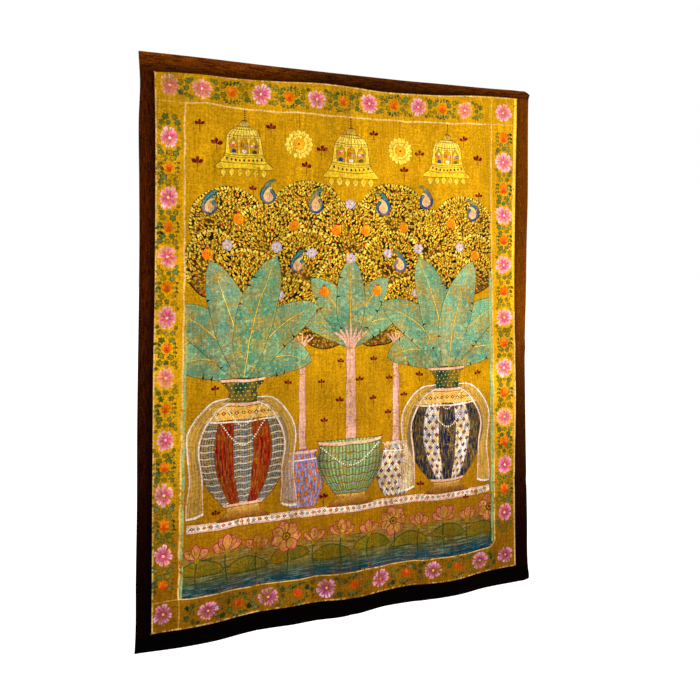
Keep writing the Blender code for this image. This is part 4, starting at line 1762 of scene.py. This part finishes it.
def staggered(finish, across, up, step, row):
    """How far a place lies from the middle of its cell, in rows that are shifted in turn."""
    number = finish.calc("FLOOR", up / row)
    odd = finish.calc("FLOORED_MODULO", number, 2.0)
    across = finish.calc("WRAP", odd * (step / 2) + across, step / 2, -step / 2)
    return across, up - (number * row + row / 2)


def squared(value):
    return value.finish.calc("POWER", abs(value), 2.0)


def away_from(across, up, wide, tall):
    """Distance from a cell's middle, as a share of a width and a height."""
    return across.finish.calc("SQRT", squared(across / wide) + squared(up / tall))


def washed(finish, colour, across, down, low, tint, share):
    """Loose brush strokes of another colour over a colour."""
    strokes = finish.between(finish.noise(across, down, 3.0), low, low + 0.10, 0.0, share)
    return finish.mix(strokes, colour, tint)


def checks(finish, colour, across, up, _):
    """Threads of ochre and navy, red dots and rosy white waving lines."""
    colour = washed(finish, colour, 0.010, 0.022, 0.47, OCHRE, 0.55)
    colour = finish.mix(lines(finish, across, 0.0068, 0.0026) * 0.75, colour, OCHRE)
    across = across + 0.0034
    crossed = finish.calc("MAXIMUM", lines(finish, across, 0.0068, 0.0022), lines(finish, up, 0.0062, 0.0020))
    colour = finish.mix(crossed * 0.60, colour, NAVY)
    dots = away_from(*staggered(finish, across, up, 0.020, 0.0083), 0.0023, 0.0021)
    colour = finish.mix(finish.under(dots, 0.7, 1.1), colour, OXBLOOD)
    wave = finish.calc("SINE", across * (2 * math.pi / 0.036))
    waving = lines(finish, wave * 0.0012 + up, 0.0180, 0.0030)
    return finish.mix(waving * 0.85, colour, ROSY_WHITE)


def small_leaves(finish, colour, across, up, _):
    """Violet strokes and white threads, and orange leaves with a rust edge."""
    colour = washed(finish, colour, 0.006, 0.040, 0.46, VIOLET, 0.75)
    colour = washed(finish, colour, 0.004, 0.020, 0.55, ROSY_WHITE, 0.60)
    colour = finish.mix(lines(finish, across, 0.0105, 0.0022) * 0.30, colour, WHITE)
    away = away_from(*staggered(finish, across, up, 0.0240, 0.0200), 0.0040, 0.0072)
    away = finish.noise(0.006, 0.006, 1.0) * 0.5 + (away - 0.25)
    colour = finish.mix(finish.under(away, 0.95, 1.15), colour, RUST)
    return finish.mix(finish.under(away, 0.56, 0.76), colour, ORANGE)


def florets(finish, colour, across, up, _):
    """Blue and straw coloured washes, and florets of four wine red petals with an orange heart."""
    colour = washed(finish, colour, 0.007, 0.030, 0.47, PALE_BLUE, 0.75)
    colour = washed(finish, colour, 0.015, 0.012, 0.50, SAND, 0.80)
    colour = finish.dimmed(colour, lines(finish, across, 0.0125, 0.0026), 0.0, 1.0, 1.0, 0.72)
    across, up = (abs(x) for x in staggered(finish, across, up, 0.0230, 0.0190))
    outward = finish.calc("MAXIMUM", across, up) - 0.0036
    petal = away_from(outward, finish.calc("MINIMUM", across, up), 0.0031, 0.0027)
    colour = finish.mix(finish.under(petal, 0.85, 1.10), colour, PLUM)
    heart = away_from(across, up, 0.0013, 0.0013)
    return finish.mix(finish.under(heart, 0.8, 1.1), colour, ORANGE)


def pleats(finish, colour, across, _, gilt):
    """Dark and light lines that run down, a little unevenly, with gold strokes where it is gilt."""
    across = finish.noise(0.05, 0.08, 3.0) * 0.012 + across
    colour = finish.dimmed(colour, lines(finish, across, 0.0110, 0.0050), 0.0, 1.0, 1.08, 0.45)
    colour = finish.dimmed(colour, lines(finish, across, 0.0253, 0.0022), 0.0, 1.0, 1.0, 1.4)
    strokes = finish.between(finish.noise(0.0026, 0.022, 3.0), 0.50, 0.64, 0.0, 0.55)
    return finish.mix(strokes * gilt, colour, OCHRE)


def frond(finish, colour, along, aside, _):
    """Veins that run forward from the midrib, over patches of ochre and of pale green."""
    ochre = finish.noise(0.055, 0.045, 4.0) * 0.6 + finish.noise(0.0075, 0.0060, 3.0) * 0.4
    colour = finish.mix(finish.between(ochre, 0.47, 0.60, 0.0, 0.85), colour, OCHRE)
    pale = finish.between(finish.noise(0.014, 0.012, 4.0), 0.52, 0.68, 0.0, 0.50)
    colour = finish.mix(pale, colour, PALE_GREEN)
    slant = finish.noise(0.03, 0.03) * 0.006 + (abs(aside) * -0.62 + along)
    return finish.dimmed(colour, lines(finish, slant, 0.0068, 0.0026), 0.0, 1.0, 1.02, 0.88)


def water(finish, colour, *_):
    """Light and dark strokes that lie level."""
    streaks = finish.noise(0.048, 0.0034, 3.0)
    colour = finish.mix(finish.between(streaks, 0.53, 0.64, 0.0, 0.50), colour, PALE_WATER)
    return finish.mix(finish.between(streaks, 0.47, 0.36, 0.0, 0.65), colour, DARK_WATER)


def leaflets(finish, colour, foot_across, foot_up, depth):
    """Small yellow leaves in layers, which radiate from the foot of their lobe, and red berries."""
    flat = finish.add("ShaderNodeCombineXYZ", {0: finish.across, 1: finish.height})
    foot = finish.add("ShaderNodeCombineXYZ", {0: foot_across, 1: foot_up})
    bare = depth * 0.85 - 0.26
    for shift in LEAF_LAYERS:
        cell = finish.cells(finish.vector("ADD", flat, shift), LEAF_CELL, "Position")
        tone = cell.also("Color")
        middle = finish.vector("SUBTRACT", cell, shift)
        outward = finish.vector("NORMALIZE", finish.vector("SUBTRACT", middle, foot))
        sway = finish.vector("ADD", tone, (-0.5, -0.5, -0.5))
        outward = finish.vector("NORMALIZE", finish.vector("MULTIPLY_ADD", sway, LEAF_SWAY, outward))
        away = finish.vector("SUBTRACT", flat, middle)
        along = finish.vector("DOT_PRODUCT", away, outward, output="Value")
        aside = finish.vector("LENGTH", finish.vector("CROSS_PRODUCT", away, outward), output="Value")
        shape = squared(along / LEAF_HALF_LENGTH) + aside / LEAF_HALF_WIDTH
        red, green, _ = finish.parts(tone)
        fallen = finish.calc("LESS_THAN", green, bare)
        shape = fallen * 3.0 + shape
        colour = finish.mix(finish.under(shape, 1.42, 1.75), colour, BLACK)
        light = finish.mix(red, DEEP_LEAF, PALE_LEAF)
        light = finish.mix(finish.between(depth, 0.35, 0.95, 0.0, 0.8), light, LOW_LEAF)
        colour = finish.mix(finish.under(shape, 0.90, 1.10), colour, light)
    berries = finish.cells(flat, BERRY_CELL, "Distance")
    return finish.mix(finish.under(berries, 0.115, 0.140), colour, BERRY)


def painted_finish(kind, pattern=None):
    """Paint of a kind on cotton, thin in places and rubbed off in others."""
    finish = Finish("painted_" + kind, 0.85, Specular_IOR_Level=0.04)
    colour, wear = finish.held("Paint", "Color"), finish.held("Paint", "Alpha")
    if pattern is not None:
        colour = pattern(finish, colour, *finish.parts(finish.held("Local", "Vector")))
    woven, creases, crumpled = threads(finish), crease_lines(finish), wrinkles(finish)
    strokes = finish.noise(0.007, 0.006, 4.0)
    toned = finish.dimmed(colour, strokes, 0.3, 0.7, 0.90, 1.10)
    thin = finish.between(finish.noise(0.040, 0.055, 4.0), 0.42, 0.64, 0.0, 1.2)
    ground = finish.mix(finish.between(finish.height, DULL_TO.imag, DULL_FROM.imag), DULL_GOLD, GOLD)
    toned = finish.mix(thin * wear, toned, ground)
    rubbed = finish.noise(0.012, 0.017, 4.0) * 0.6 + woven * 0.4
    level = wear * -0.36 + 0.70
    level = crumpled * -0.13 + (creases * -0.10 + level)
    gone = finish.between(rubbed - level, -0.035, 0.035)
    colour = aged(finish, finish.mix(gone, toned, ground), woven)
    relief = crumpled * -0.8 + (creases * -1.2 + (strokes * 0.25 + woven))
    return finish.finish(colour, relief, CLOTH_RELIEF)


def bare_finish():
    """The back: unpainted cotton, stained where the paint has soaked through."""
    finish = Finish("bare_cotton", 0.9, Specular_IOR_Level=0.1)
    woven = threads(finish)
    stain = finish.between(finish.noise(0.09, 0.11, 4.0), 0.35, 0.7)
    colour = finish.mix(stain, BARE_COTTON, STAINED_COTTON)
    return finish.finish(aged(finish, colour, woven), woven, CLOTH_RELIEF)


def cloth_finishes():
    """The finishes of the panel, in the order of the kinds."""
    patterns = {"plain": None, "leaflets": leaflets, "frond": frond, "water": water, "checks": checks,
                "small_leaves": small_leaves, "florets": florets, "pleats": pleats}
    return [bare_finish() if kind == "bare" else painted_finish(kind, patterns[kind]) for kind in KINDS]


def binding_finish(strip):
    """Dark brown napped cloth with golden specks that are partly painted glints, and painted light and shade:
    lighter toward the top, near black at the foot, darker beside the seam and in stretches along each strip.
    """
    finish = Finish("binding_" + strip.name, 0.9, Specular_IOR_Level=0.02, Sheen_Weight=0.06,
                    Sheen_Roughness=0.4, Sheen_Tint=(*linear(SHEEN), 1.0))
    share = finish.held("Share", "Fac")
    streaks = finish.noise(*((0.03, 0.0025) if strip.runs == "across" else (0.0025, 0.03)), 3.0)
    nap = finish.noise(0.0018, 0.0018, 3.0)
    # Painted light and shade: 0 at the foot and 1 at the top, so the colours run from near black at the foot
    # to lighter toward the top
    painted_light_toward_top = finish.between(finish.height, -1.45, -0.05)
    deep, light = (finish.mix(painted_light_toward_top, low, high) for low, high in zip(PAINTED_SHADE_AT_FOOT, strip.shades))
    colour = finish.mix(finish.between(streaks, 0.34, 0.66), deep, light)
    # Golden specks, partly real and partly painted glints of light on the pile, stronger toward the top
    specks_and_glints = finish.between(finish.noise(0.0034, 0.0030), 0.58, 0.70, 0.0, 0.4)
    colour = finish.mix(specks_and_glints * painted_light_toward_top, colour, SPECK_AND_GLINT)
    # Painted light and shade along the strip
    for tone in strip.tones:
        run = finish.across if tone.runs == "across" else finish.height
        colour = finish.dimmed(colour, run, tone.low, tone.high, tone.first, tone.last)
    colour = finish.dimmed(colour, nap, 0.3, 0.7, 0.74, 1.22)
    # Painted shade beside the seam, where the strip turns in toward the panel
    colour = finish.dimmed(colour, share, strip.hollow[0], 1.0, 1.0, strip.hollow[1])
    relief = crease_lines(finish) * -1.2 + (streaks * 0.6 + nap)
    return finish.finish(colour, relief, BINDING_RELIEF)


# Around the hanging: floor, light and camera


def floor():
    """A pale floor, which throws no light back on the cloth."""
    mesh = bpy.data.meshes.new("floor")
    signs = ((-1, -1), (1, -1), (1, 1), (-1, 1))
    corners = [(x * FLOOR_REACH, y * FLOOR_REACH, FLOOR_LEVEL) for x, y in signs]
    mesh.from_pydata(corners, [], [(0, 1, 2, 3)])
    finish = Finish("pale_floor", 0.95, Specular_IOR_Level=0.0)
    grain = finish.noise(0.4, 0.4, 3.0)
    colour = finish.mix(grain, (246, 246, 245), (250, 250, 249))
    plane = new_object("floor", mesh, finish.finish(colour, grain, 0.0003))
    plane.visible_diffuse = False
    plane.visible_glossy = False


def lamp(name, kind, place, aim, power, **settings):
    data = bpy.data.lights.new(name, kind)
    data.energy = power
    for setting, value in settings.items():
        setattr(data, setting, value)
    light = bpy.data.objects.new(name, data)
    light.location = place
    light.rotation_euler = (Vector(aim) - Vector(place)).to_track_quat("-Z", "Y").to_euler()
    bpy.context.scene.collection.objects.link(light)


def studio():
    """A soft spot lamp from the upper right, an even light, and a lamp overhead for the floor."""
    lamp("key", "SPOT", KEY_PLACE, KEY_AIM, KEY_POWER, spot_size=math.radians(KEY_ANGLE), spot_blend=1.0,
         shadow_soft_size=KEY_RADIUS, color=KEY_COLOUR)
    lamp("overhead", "SUN", OVERHEAD_PLACE, (0.0, 0.0, 0.0), OVERHEAD_POWER,
         angle=math.radians(OVERHEAD_ANGLE))
    world = bpy.data.worlds.new("studio")
    bpy.context.scene.world = world
    world.use_nodes = True
    tree = world.node_tree
    tree.nodes.clear()
    rays = tree.nodes.new("ShaderNodeLightPath")
    choice = tree.nodes.new("ShaderNodeMixShader")
    target = tree.nodes.new("ShaderNodeOutputWorld")
    tree.links.new(rays.outputs["Is Camera Ray"], choice.inputs[0])
    for number, strength in ((1, EVEN_STRENGTH), (2, SEEN_STRENGTH)):
        light = tree.nodes.new("ShaderNodeBackground")
        light.inputs["Strength"].default_value = strength
        light.inputs["Color"].default_value = (1.0, 1.0, 1.0, 1.0)
        tree.links.new(light.outputs[0], choice.inputs[number])
    tree.links.new(choice.outputs[0], target.inputs["Surface"])


def camera():
    data = bpy.data.cameras.new("camera")
    data.lens = CAMERA_LENS
    data.sensor_width = SENSOR_WIDTH
    data.shift_y = CAMERA_SHIFT
    eye = bpy.data.objects.new("camera", data)
    eye.location = CAMERA_PLACE
    eye.rotation_euler = (math.radians(90), 0.0, math.radians(CAMERA_TURN))
    bpy.context.scene.collection.objects.link(eye)
    bpy.context.scene.camera = eye


camera()
studio()
floor()
bpy.context.scene.view_settings.view_transform = "Standard"

cloth = painted_cloth(cloth_finishes())
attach(cloth, "root")
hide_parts("painted_panel")

for strip in STRIPS:
    piece = binding_strip(strip, binding_finish(strip))
    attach(piece, "root")
    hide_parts(strip.node)
    length = HANGING_WIDTH if strip.runs == "across" else HANGING_HEIGHT - 0.08
    2 * strip.width + 2 * LAP
